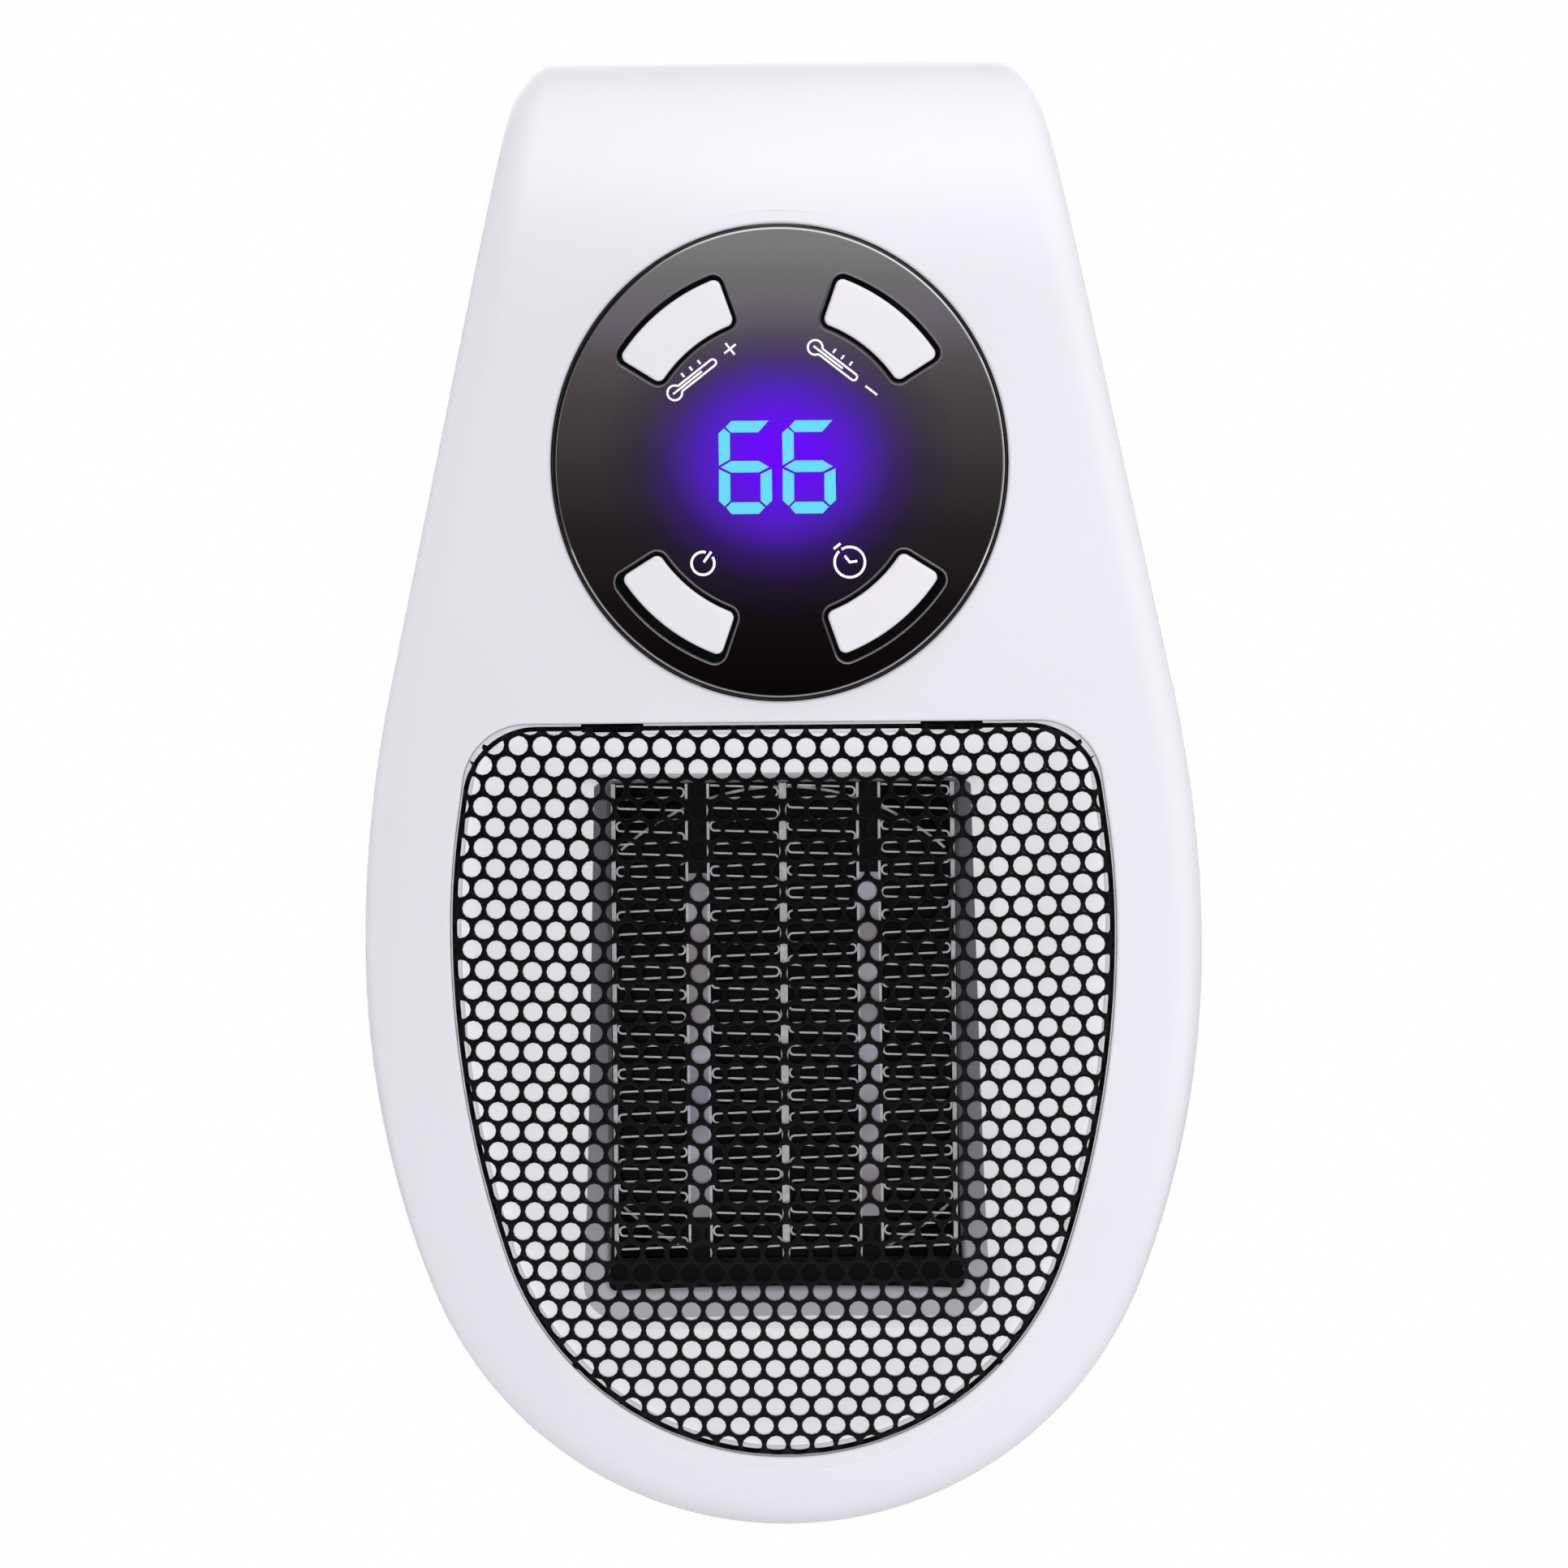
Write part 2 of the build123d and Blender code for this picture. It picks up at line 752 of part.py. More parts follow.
def outlet_duct():
    """The pale tray behind the grille, its rim and the throat that leads to the heater."""
    bed = front_body(tray_bed)
    floor_back = front_body(tray_bed + tray_wall)
    rim = grille_face(-opening_gap - tray_wall) - grille_face(-opening_gap)
    duct = (slab(rim, 0, front_end) & inner_form) - floor_back
    duct += (slab(grille_face(-opening_gap), 0, front_end) & bed) - floor_back
    for place in case_post_places()[1]:
        screw_post = post(*place, case_post_radius, parting_depth, front_end) & bed
        duct += screw_post & slab(grille_face(-opening_gap - tray_wall), 0, front_end)
    duct += throat_form(tray_wall) & bed
    return duct - throat_form(0.0) - grille_tabs(grille_tab_gap)


# Heater core


frame_half_width = core_half_width + heater_frame_wall
frame_top = heater_frame_wall - throat_top_drop
frame_bottom = -throat_bottom_drop - heater_frame_wall
core_middle = core_height / 2 - core_bottom_drop
core_front_depth = heater_front_depth - core_setback
core_back_depth = core_front_depth - core_length


def core_block(width, height, x, z):
    return block(width, height, x, z, core_back_depth, core_front_depth)


def heater_frame():
    height = frame_top - frame_bottom
    middle = (frame_top + frame_bottom) / 2
    body = block(2 * frame_half_width, height, 0, middle, heater_back_depth, heater_front_depth)
    window = block(2 * core_half_width, core_height, 0, core_middle, 0, front_end)
    return body - window


def core_columns():
    """The places along X of the fins, bars and plates, from the middle outwards."""
    inner_fin = centre_plate / 2 + fin_width / 2
    near_plate = inner_fin + fin_width / 2 + inner_plate / 2
    bar = near_plate + inner_plate / 2 + ptc_bar_width / 2
    far_plate = bar + ptc_bar_width / 2 + inner_plate / 2
    outer_fin = far_plate + inner_plate / 2 + fin_width / 2
    end_plate = core_half_width - outer_plate / 2
    return inner_fin, near_plate, bar, far_plate, outer_fin, end_plate


def radiator_plates():
    inner_fin, near_plate, bar, far_plate, outer_fin, end_plate = core_columns()
    plates = [core_block(centre_plate, core_height, 0, core_middle)]
    for side in (-1, 1):
        plates.append(core_block(inner_plate, core_height, side * near_plate, core_middle))
        plates.append(core_block(inner_plate, core_height, side * far_plate, core_middle))
        plates.append(core_block(outer_plate, core_height, side * end_plate, core_middle))
    return joined(plates)


def ptc_bar(side):
    height = core_height - upper_insulator - lower_insulator
    middle = lower_insulator - core_bottom_drop + height / 2
    return core_block(ptc_bar_width, height, side * core_columns()[2], middle)


def ptc_insulators():
    """Dark end blocks above and below each ceramic bar."""
    upper_middle = -core_top_drop - upper_insulator / 2
    lower_middle = -core_bottom_drop + lower_insulator / 2
    blocks = []
    for side in (-1, 1):
        x = side * core_columns()[2]
        blocks.append(core_block(ptc_bar_width, upper_insulator, x, upper_middle))
        blocks.append(core_block(ptc_bar_width, lower_insulator, x, lower_middle))
    return joined(blocks)


def ribbon_face(points, thickness):
    """A band of even thickness along a path, mitred at each of its points."""
    first_side = []
    second_side = []
    for index, point in enumerate(points):
        here = Vector(*point)
        before = here - Vector(*points[index - 1]) if index else None
        after = Vector(*points[index + 1]) - here if index + 1 < len(points) else None
        before = (before or after).normalized()
        after = (after or before).normalized()
        normal = Vector(-before.Y - after.Y, before.X + after.X).normalized()
        shift = normal * (thickness / 2 / normal.dot(Vector(-before.Y, before.X)))
        first_side.append(here + shift)
        second_side.append(here - shift)
    return make_face(Polyline(*first_side, *reversed(second_side), close=True))


def fin_pack(x):
    """A corrugated strip that runs to and fro between two plates, leaning a little each way."""
    pitch = (core_height - fin_thickness) / fin_passes_count
    slope = fin_slope_share * pitch
    reach = (fin_width - fin_thickness) / 2
    points = []
    z = -core_top_drop - fin_thickness / 2
    for step in range(fin_passes_count):
        side = 1 if step % 2 else -1
        points.append((x + side * reach, z))
        points.append((x - side * reach, z - slope))
        z -= pitch
    return slab(ribbon_face(points, fin_thickness), core_back_depth, core_front_depth)


def fin_packs():
    inner_fin, near_plate, bar, far_plate, outer_fin, end_plate = core_columns()
    places = (-outer_fin, -inner_fin, inner_fin, outer_fin)
    return {f"fin_pack_{number}": fin_pack(x) for number, x in enumerate(places, 1)}


def heater_terminals():
    """Three blades on the frame's top edge, over the two ceramic bars and the centre plate."""
    depth = (core_back_depth + core_front_depth) / 2
    bar = core_columns()[2]
    blades = []
    for x in (-bar, 0, bar):
        blades.append(block(terminal_width, terminal_reach, x, frame_top + terminal_reach / 2,
                            depth - terminal_wall / 2, depth + terminal_wall / 2))
    return joined(blades)


def thermal_cutout():
    """A round thermal switch lying along the frame's side."""
    centre = (frame_half_width + cutout_radius, -(heater_front_depth + heater_back_depth) / 2)
    body = Pos(*centre, core_middle) * Cylinder(cutout_radius, cutout_length)
    return body


# Fan and motor


def fan_post_places():
    places = [(x, z) for x in (-fan_post_x, fan_post_x) for z in (-fan_post_rise, fan_post_rise)]
    return [(x, z - fan_drop) for x, z in places]


def fan_frame():
    """A square frame round the blades, with a cup for the motor on four struts."""
    middle = -fan_drop
    frame = block(fan_frame_width, fan_frame_height, 0, middle, fan_back_depth, fan_front_depth,
                  fan_frame_round)
    frame -= post(0, middle, fan_bore_radius, fan_back_depth, fan_front_depth)
    cup_radius = motor_radius + motor_cup_wall
    strut_end = fan_back_depth + strut_wall
    strut = block(2 * fan_bore_radius + strut_width, strut_width, 0, 0, fan_back_depth, strut_end)
    for step in range(strut_count // 2):
        turned = strut.rotate(Axis.Y, 45 + 180 * step / (strut_count / 2))
        frame += Pos(0, 0, middle) * turned
    frame += post(0, middle, cup_radius, motor_front_depth - motor_cup_length, strut_end)
    return frame - post(0, middle, motor_radius, motor_front_depth - motor_cup_length, strut_end)


def fan_blade():
    """A flat blade, pitched about its own length and cut to the wheel's depth and radius."""
    depth = (blade_front_depth + blade_back_depth) / 2
    root = fan_hub_radius - fan_hub_wall / 2
    chord = 2 * fan_blade_length
    blade = Pos((root + fan_bore_radius) / 2, 0, 0) * Box(fan_bore_radius - root, fan_blade_wall, chord)
    blade = Pos(0, -depth, -fan_drop) * blade.rotate(Axis.X, 90 - fan_blade_angle)
    return blade & post(0, -fan_drop, fan_tip_radius, blade_back_depth, blade_front_depth)


def fan_impeller():
    """Pitched blades on a hub cup, bored for the motor's shaft."""
    hub_back = blade_front_depth - fan_hub_length
    hub = post(0, -fan_drop, fan_hub_radius, hub_back, blade_front_depth)
    hub = chamfer(hub.edges().sort_by(Axis.Y)[0], fan_hub_bevel)
    pocket = post(0, -fan_drop, fan_hub_radius - fan_hub_wall, hub_back,
                  blade_front_depth - fan_hub_wall)
    pocket -= post(0, -fan_drop, shaft_radius + fan_hub_wall, hub_back, blade_front_depth)
    hub = hub - pocket - post(0, -fan_drop, shaft_radius, hub_back, shaft_front_depth)
    axis = Axis((0, 0, -fan_drop), (0, 1, 0))
    turns = [360 * step / fan_blade_count for step in range(fan_blade_count)]
    return hub + [fan_blade().rotate(axis, turn) for turn in turns]


shaft_front_depth = blade_front_depth - fan_hub_wall
shaft_back_depth = motor_back_depth + shaft_tail


def motor_shaft():
    return post(0, -fan_drop, shaft_radius, shaft_back_depth, shaft_front_depth)


def motor_can():
    """A flat round motor with a bearing boss, bored for its shaft."""
    can = post(0, -fan_drop, motor_radius, motor_back_depth, motor_front_depth)
    can += post(0, -fan_drop, motor_boss_radius, motor_front_depth, motor_front_depth + motor_boss)
    bore_end = shaft_back_depth - shaft_tail / 2
    return can - post(0, -fan_drop, shaft_radius + shaft_clearance, bore_end, front_depth)


# Power board


power_board_front = power_board_depth + board_wall


def power_post_places():
    columns = (-power_post_x, power_post_x)
    rows = (power_board_rise - power_post_rise, power_board_rise + power_post_rise)
    return [(x, z) for x in columns for z in rows]


def power_board():
    return block(power_board_width, power_board_height, 0, power_board_rise, power_board_depth,
                 power_board_front)


def on_power_board(size, place):
    width, height, length = size
    x, z = place
    return block(width, height, x, z + power_board_rise, power_board_front,
                 power_board_front + length)


# Main switch


def rocker_switch_body():
    """A snap-in switch body with a bezel, a window for the rocker and three tabs."""
    bezel_end = rear_depth - rocker_bezel
    body = block(rocker_bezel_width, rocker_bezel_height, 0, -rocker_drop, bezel_end, rear_depth,
                 rocker_bezel)
    body_end = rear_depth + rocker_body_length
    body += block(rocker_body_width, rocker_body_height, 0, -rocker_drop, rear_depth, body_end)
    window_width = 2 * (rocker_radius + rocker_end_gap)
    window_height = rocker_width + 2 * rocker_side_gap
    window_end = rocker_pivot_depth + rocker_radius + rocker_end_gap
    body -= block(window_width, window_height, 0, -rocker_drop, bezel_end, window_end)
    body -= trunnions(trunnion_radius + trunnion_clearance)
    for step in (-1, 0, 1):
        body += block(rocker_tab_wall, rocker_tab_width, step * rocker_tab_pitch, -rocker_drop,
                      body_end, body_end + rocker_tab_reach)
    return body


def trunnions(radius):
    length = rocker_width + 2 * (rocker_side_gap + trunnion_length)
    return Pos(0, -rocker_pivot_depth, -rocker_drop) * Cylinder(radius, length)


def rocker():
    """The rocker with its two faces meeting in a shallow valley, tilted to one side at rest."""
    rise = rocker_crest + rocker_radius * math.tan(math.radians(rocker_tilt_angle))
    side = rocker_radius
    points = [(-side, -rocker_skirt), (side, -rocker_skirt), (side, rise), (0, rocker_crest),
              (-side, rise)]
    face = Circle(rocker_radius) & Polygon(*points, align=None)
    body = extrude(face, rocker_width / 2, both=True)
    body = Pos(0, -rocker_pivot_depth, -rocker_drop) * body
    body += trunnions(trunnion_radius)
    axis = Axis((0, -rocker_pivot_depth, -rocker_drop), (0, 0, 1))
    return body.rotate(axis, -rocker_tilt_angle)


# Every node of the part

nodes = {
    "plug_base": plug_base(),
    "live_pin": pin(-pin_spacing / 2),
    "neutral_pin": pin(pin_spacing / 2),
    "swivel_retainer": swivel_retainer(),
    "front_shell": front_shell(),
    "rear_shell": rear_shell(),
    "control_panel": control_panel(),
    "control_board": control_board(),
    "tact_switches": tact_switches(),
    "display_module": display_module(),
    "digit_segments": digit_segments(),
    "grille_mesh": grille_mesh(),
    "outlet_duct": outlet_duct(),
    "heater_frame": heater_frame(),
    "radiator_plates": radiator_plates(),
    "ptc_bar_left": ptc_bar(-1),
    "ptc_bar_right": ptc_bar(1),
    "ptc_insulators": ptc_insulators(),
    "heater_terminals": heater_terminals(),
    "thermal_cutout": thermal_cutout(),
    "fan_frame": fan_frame(),
    "fan_impeller": fan_impeller(),
    "motor_shaft": motor_shaft(),
    "motor_can": motor_can(),
    "power_board": power_board(),
    "filter_capacitor": on_power_board(capacitor_size, capacitor_place),
    "power_relay": on_power_board(relay_size, relay_place),
    "terminal_block": on_power_board(block_size, block_place),
    "rocker_switch_body": rocker_switch_body(),
    "rocker": rocker(),
}
nodes.update(fin_packs())
for name, turn in button_turns.items():
    nodes[name] = button(turn)
    nodes[name.replace("button", "plunger")] = plunger(turn)

os.makedirs("parts", exist_ok=True)
for name, shape in nodes.items():
    export_step(shape, f"parts/{name}.step")
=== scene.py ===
"""Plug-in fan heater: the look of the housing, panel, grille, core and plug, round the fixed frame.

The frame is +Z up with the wall on the +Y side. Outlines are drawn as seen from the room, in
millimetres, and "depth" counts from the plug's end face towards the room, along -Y.
"""
import math

import bmesh
import bpy
import numpy as np
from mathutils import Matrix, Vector, geometry, kdtree


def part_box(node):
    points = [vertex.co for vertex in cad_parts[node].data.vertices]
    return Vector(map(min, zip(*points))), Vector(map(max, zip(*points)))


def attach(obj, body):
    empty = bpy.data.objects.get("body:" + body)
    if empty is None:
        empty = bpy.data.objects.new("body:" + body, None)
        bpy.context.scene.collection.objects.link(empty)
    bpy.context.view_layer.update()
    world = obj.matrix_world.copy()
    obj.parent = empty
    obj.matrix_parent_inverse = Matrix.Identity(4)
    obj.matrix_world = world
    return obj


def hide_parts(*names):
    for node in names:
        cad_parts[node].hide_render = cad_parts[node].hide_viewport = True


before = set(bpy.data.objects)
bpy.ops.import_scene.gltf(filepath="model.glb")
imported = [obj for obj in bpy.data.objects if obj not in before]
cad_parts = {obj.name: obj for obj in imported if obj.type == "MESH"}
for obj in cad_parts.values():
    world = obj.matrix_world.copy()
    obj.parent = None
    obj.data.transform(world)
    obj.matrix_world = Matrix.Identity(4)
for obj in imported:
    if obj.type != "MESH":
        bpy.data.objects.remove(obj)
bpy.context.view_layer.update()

bl_info = {
    "name": "Plug-in fan heater",
    "version": (1, 0, 0),
    "blender": (4, 5, 0),
    "location": "3D View > Sidebar > Heater",
    "description": "Builds the finished look of a plug-in fan heater",
    "category": "Object",
}

# One millimetre in the scene's metres
MM = 0.001

# Housing seen from the front, the same as the frame's
HOUSING = dict(top=31.0, bottom=-139.0, hip=-72.0, half_width=48.5, chin=44.2, waist=144.0,
               lean=11.9, corner=6.0)
GRILLE = dict(top=-46.28, bottom=-130.9, hip=-70.0, half_width=38.3, chin=34.0, waist=90.0,
              lean=8.0, corner=8.6)
OPENING_CORNER = 7.3
OPENING_REACH = 5.5
REAR_DEPTH = 22.0
FRONT_DEPTH = 88.0
PARTING_DEPTH = 44.0
BROW_RADIUS = 30.0
BROW_Z = HOUSING["top"] - BROW_RADIUS
BELLY_TOP = -20.0
BELLY_RADIUS = 270.0
CROWN_RADIUS = 150.0
CROWN_AXIS = CROWN_RADIUS - FRONT_DEPTH
EDGE_ROUND = 5.6
REAR_ROUND = 5.0
SHELL_WALL = 1.6
SEAM_ROUND = 0.35
SEAM_GAP = 0.3
TONGUE = 2.0

# Panel, keys and display
PANEL_CENTRE = -16.0
PANEL_HALF_WIDTH = 26.25
PANEL_HALF_HEIGHT = 27.4
PANEL_RISE = 0.6
PANEL_BACK = FRONT_DEPTH - 3.2
SEAT_PLAY = 0.15
SEAT_REACH = 3.6
RING_CENTRE = -16.5
DIGIT_MIDDLE = (-0.28, -16.59)
DIGIT_SPREAD = 3.68
GLOW_CENTRE = -15.5
GLOW_REACH = 22.0
GLOW_SQUASH = 1.13
RING_INNER = 17.0
RING_OUTER = 22.2
RING_SHIFT = (0.4, 0.85)
KEY_TURN = 51.4
KEY_HALF_ANGLE = 19.3
UPPER_REACH = 0.42
UPPER_SPARE = 0.18
LOWER_SPARE = 0.62
KEY_CORNER = 0.85
KEY_RISE = 1.1
KEY_BACK = PANEL_BACK - 1.0
KEY_TURNS = {
    "button_warmer": 180 - KEY_TURN,
    "button_cooler": KEY_TURN,
    "button_power": 180 + KEY_TURN,
    "button_timer": -KEY_TURN,
}

# Grille, tray and throat
GRILLE_INSET = 0.4
GRILLE_SHEET = 0.6
TOP_GAP = 0.28
SIDE_GAP = 0.2
TRAY_BED = 7.4
TRAY_WALL = 1.2
TRAY_COVE = 1.2
TRAY_PLAY = 0.03
THROAT_HALF_WIDTH = 21.2
THROAT_TOP = -51.7
THROAT_BOTTOM = -112.0
THROAT_CORNER = 1.6
FLARE = dict(side_top=1.5, side_bottom=2.9, top=0.35, bottom=3.4)
LIP = dict(side=1.45, top=0.3, bottom=0.9, depth=0.8)
HEATER_FRONT = 59.5

# Fan wheel
FAN_BLADES = 7
BLADE_SPAN = 64.0
TIP_SPARE = 0.9
TIP_ROUND = 2.5
TIP_START = 0.85
BLADE_MARGIN = 0.07
BLADE_WALL = 0.9
HUB_RADIUS = 9.5
HUB_WALL = 1.6
HUB_ROUND = 1.8

# Heater core
CORE_TOP = -53.0
CORE_HEIGHT = 55.0
CORE_LENGTH = 9.6
CORE_FRONT = HEATER_FRONT - 0.4
FIN_WIDTH = 8.1
FIN_PASSES = 42
FIN_SLOPE = 0.22
FIN_TURN = 0.5
FIN_PLAY = 0.02

# Rear of the housing
HOLE_REACH = 2.2
HOLE_ROUND = 0.3
NECK_HOLE = 20.08
FAN_CENTRE = -81.45
INTAKE_RADIUS = 26.0
INTAKE_SLOT = 2.6
INTAKE_PITCH = 4.9
INTAKE_PAIRS = 4
ROCKER_CENTRE = -38.5
ROCKER_HOLE = (18.8, 12.8)
CASE_POSTS = [(side * x, z) for x, z in ((33.0, -33.0), (35.0, -92.0)) for side in (-1, 1)]
COUNTERBORE = 2.7
COUNTERBORE_DEPTH = 9.9
SCREW_HEIGHT = 1.55
SCREW_RADIUS = 2.4
# Growth and depth, from the shank's side to the edge of the head's flat top
SCREW_PROFILE = [(0, 1.5), (0, 0.7), (-0.25, 0.3), (-0.7, 0.08), (-1.1, 0.0)]
CROSS_QUARTER = ((1.05, -0.28), (1.05, 0.28), (0.28, 0.28))
CROSS_DEPTH = 0.9
CROSS_TAPER = 0.75


def socket_color(code):
    """An sRGB hex colour as the linear value that a socket takes."""
    parts = [int(code[index:index + 2], 16) / 255 for index in (1, 3, 5)]
    linear = [part / 12.92 if part <= 0.04045 else ((part + 0.055) / 1.055) ** 2.4 for part in parts]
    return (*linear, 1.0)


class HeaterSizes(bpy.types.PropertyGroup):
    """Sizes of the finish that a user would change."""
    opening_round: bpy.props.FloatProperty(
        name="Opening round", description="Rounding of the housing's edge round its openings, in mm",
        default=0.45, min=0.1, max=1.0)
    key_gap: bpy.props.FloatProperty(
        name="Key gap", description="Gap round each key, in mm", default=0.42, min=0.2, max=0.8)
    key_round: bpy.props.FloatProperty(
        name="Key round", description="Rounding of each key's edge, in mm",
        default=0.45, min=0.1, max=0.8)
    hole_pitch: bpy.props.FloatProperty(
        name="Hole pitch", description="Spacing of the grille's holes, in mm",
        default=2.77, min=2.0, max=5.0)
    hole_width: bpy.props.FloatProperty(
        name="Hole width", description="Diameter of the grille's holes, in mm",
        default=2.28, min=1.0, max=4.0)
    fin_gauge: bpy.props.FloatProperty(
        name="Fin gauge", description="Thickness of the heater's fins, in mm",
        default=0.22, min=0.1, max=0.5)


class HeaterColours(bpy.types.PropertyGroup):
    """Colours of the finish that a user would change."""
    shell: bpy.props.FloatVectorProperty(
        name="Shell", description="Colour of the moulded housing", subtype="COLOR", size=4,
        default=socket_color("#E9E7EE"), min=0, max=1)
    key: bpy.props.FloatVectorProperty(
        name="Keys", description="Colour of the keys", subtype="COLOR", size=4,
        default=socket_color("#EDE9F0"), min=0, max=1)
    digits: bpy.props.FloatVectorProperty(
        name="Digits", description="Colour of the lit digits", subtype="COLOR", size=4,
        default=socket_color("#6ADEF8"), min=0, max=1)


# Outlines: rows of place and outward direction, anticlockwise as seen from the room

LINE_STEP = 0.8


def arc_rows(centre, radius, first, last, step=0.6):
    """Rows along an arc. The last place is left to the next stretch."""
    count = max(2, math.ceil(abs(math.radians(last - first)) * radius / step))
    count = max(count, math.ceil(abs(last - first) / 9))
    angles = np.radians(np.linspace(first, last, count, endpoint=False))
    normals = np.column_stack([np.cos(angles), np.sin(angles)])
    return np.hstack([np.array(centre) + radius * normals, normals])


def line_rows(start, end):
    """Rows along a line whose outside is on its right."""
    start = np.array(start, float)
    end = np.array(end, float)
    length = np.linalg.norm(end - start)
    shares = np.linspace(0, 1, max(1, math.ceil(length / LINE_STEP)), endpoint=False)[:, None]
    along = (end - start) / length
    normal = np.array([along[1], -along[0]])
    return np.hstack([start + shares * (end - start), np.tile(normal, (len(shares), 1))])


def polar(centre, radius, angle):
    turn = math.radians(angle)
    return (centre[0] + radius * math.cos(turn), centre[1] + radius * math.sin(turn))


def pear_outline(top, bottom, hip, half_width, chin, waist, lean, corner):
    """A flat top and leaning sides, widest at the hip and round at the chin."""
    rise = bottom + chin - hip
    hip_radius = (half_width ** 2 + rise ** 2 - chin ** 2) / (2 * (half_width - chin))
    turn = math.degrees(math.atan2(rise, hip_radius - half_width))
    waist_centre = (half_width - waist, hip)
    across, along = polar((0, 0), 1, lean)
    start = polar(waist_centre, waist, lean)
    reach = across * start[0] + along * start[1]
    corner_centre = ((reach - corner - along * (top - corner)) / across, top - corner)
    right = np.vstack([
        arc_rows((0, bottom + chin), chin, -90, turn),
        arc_rows((half_width - hip_radius, hip), hip_radius, turn, 0),
        arc_rows(waist_centre, waist, 0, lean),
        line_rows(start, polar(corner_centre, corner, lean)),
        arc_rows(corner_centre, corner, lean, 90, 0.3),
        line_rows((corner_centre[0], top), (0, top)),
    ])
    left = right[1:][::-1] * np.array([-1, 1, -1, 1])
    return np.vstack([right, [[0, top, 0, 1]], left])


def opening_outline():
    """The housing's edge round the grille: close at the sides, with a pale step left over the top."""
    rows = pear_outline(**{**GRILLE, "corner": OPENING_CORNER})
    upward = np.clip(rows[:, 3], 0, 1)
    gap = SIDE_GAP + (TOP_GAP - SIDE_GAP) * upward ** 2 * (3 - 2 * upward)
    rows[:, :2] += gap[:, None] * rows[:, 2:]
    return rows


def oval_outline(centre, half_width, half_height, count=240):
    angles = np.linspace(0, 2 * math.pi, count, endpoint=False)
    places = np.column_stack([half_width * np.cos(angles), half_height * np.sin(angles)])
    normals = np.column_stack([np.cos(angles) / half_width, np.sin(angles) / half_height])
    normals /= np.linalg.norm(normals, axis=1)[:, None]
    return np.hstack([np.array(centre) + places, normals])


def box_outline(centre, width, height, corner):
    """A rectangle with round corners, or a slot when the corner is half its width."""
    middles = [(centre[0] + side * (width / 2 - corner), centre[1] + end * (height / 2 - corner))
               for side, end in ((1, -1), (1, 1), (-1, 1), (-1, -1))]
    rows = []
    for index, middle in enumerate(middles):
        first = 90 * index - 90
        rows.append(arc_rows(middle, corner, first, first + 90, 0.3))
        start, end = (polar(place, corner, first + 90) for place in (middle, middles[(index + 1) % 4]))
        if math.dist(start, end) > 1e-6:
            rows.append(line_rows(start, end))
    return np.vstack(rows)


def key_outline(turn, spare=0.0):
    """One sector of the key ring, with round corners. A well has some spare room outside it."""
    across, along = polar((0, 0), 1, turn)
    centre = (-math.copysign(RING_SHIFT[0], across), math.copysign(RING_SHIFT[1], along) + RING_CENTRE)
    outer = RING_OUTER + spare
    inmost = RING_INNER - (UPPER_REACH if along > 0 else 0)
    outer_lap = math.degrees(math.asin(KEY_CORNER / (outer - KEY_CORNER)))
    inner_lap = math.degrees(math.asin(KEY_CORNER / (inmost + KEY_CORNER)))
    low = turn - KEY_HALF_ANGLE
    high = turn + KEY_HALF_ANGLE
    outer_low = polar(centre, outer - KEY_CORNER, low + outer_lap)
    outer_high = polar(centre, outer - KEY_CORNER, high - outer_lap)
    inner_low = polar(centre, inmost + KEY_CORNER, low + inner_lap)
    inner_high = polar(centre, inmost + KEY_CORNER, high - inner_lap)
    inner = arc_rows(centre, inmost, high - inner_lap, low + inner_lap)
    inner[:, 2:] *= -1
    sides = [line_rows(*[polar(place, KEY_CORNER, angle) for place in ends])
             for ends, angle in (((outer_high, inner_high), high + 90), ((inner_low, outer_low), low - 90))]
    return np.vstack([
        arc_rows(centre, outer, low + outer_lap, high - outer_lap),
        arc_rows(outer_high, KEY_CORNER, high - outer_lap, high + 90, 0.2),
        sides[0],
        arc_rows(inner_high, KEY_CORNER, high + 90, high - inner_lap + 180, 0.2),
        inner,
        arc_rows(inner_low, KEY_CORNER, low + inner_lap + 180, low + 270, 0.2),
        sides[1],
        arc_rows(outer_low, KEY_CORNER, low - 90, low + outer_lap, 0.2),
    ])


def grown(outline, by):
    return outline[:, :2] + by * outline[:, 2:]


# The front surface


def front_at(x, z, inset=0.0):
    """Depth of the front surface, or of one that lies an inset below it."""
    depth = np.full(np.shape(x), FRONT_DEPTH - inset, float)
    over = np.clip(z - BROW_Z, 0, BROW_RADIUS - inset)
    depth += np.sqrt((BROW_RADIUS - inset) ** 2 - over ** 2) - (BROW_RADIUS - inset)
    under = np.clip(BELLY_TOP - z, 0, None)
    depth += np.sqrt((BELLY_RADIUS - inset) ** 2 - under ** 2) - (BELLY_RADIUS - inset)
    return np.sqrt((CROWN_AXIS + depth) ** 2 - np.square(x)) - CROWN_AXIS


def front_normals(x, z, inset=0.0):
    """Unit directions across, up and towards the room, square to the front surface."""
    lift = np.clip((z - BROW_Z) / (BROW_RADIUS - inset), 0, 1)
    dip = np.clip((BELLY_TOP - z) / (BELLY_RADIUS - inset), 0, 1)
    rise = lift - dip
    flat = np.sqrt(1 - rise ** 2)
    out = front_at(x, z, inset) + CROWN_AXIS
    reach = np.hypot(x, out)
    return np.column_stack([flat * x / reach, rise, flat * out / reach])


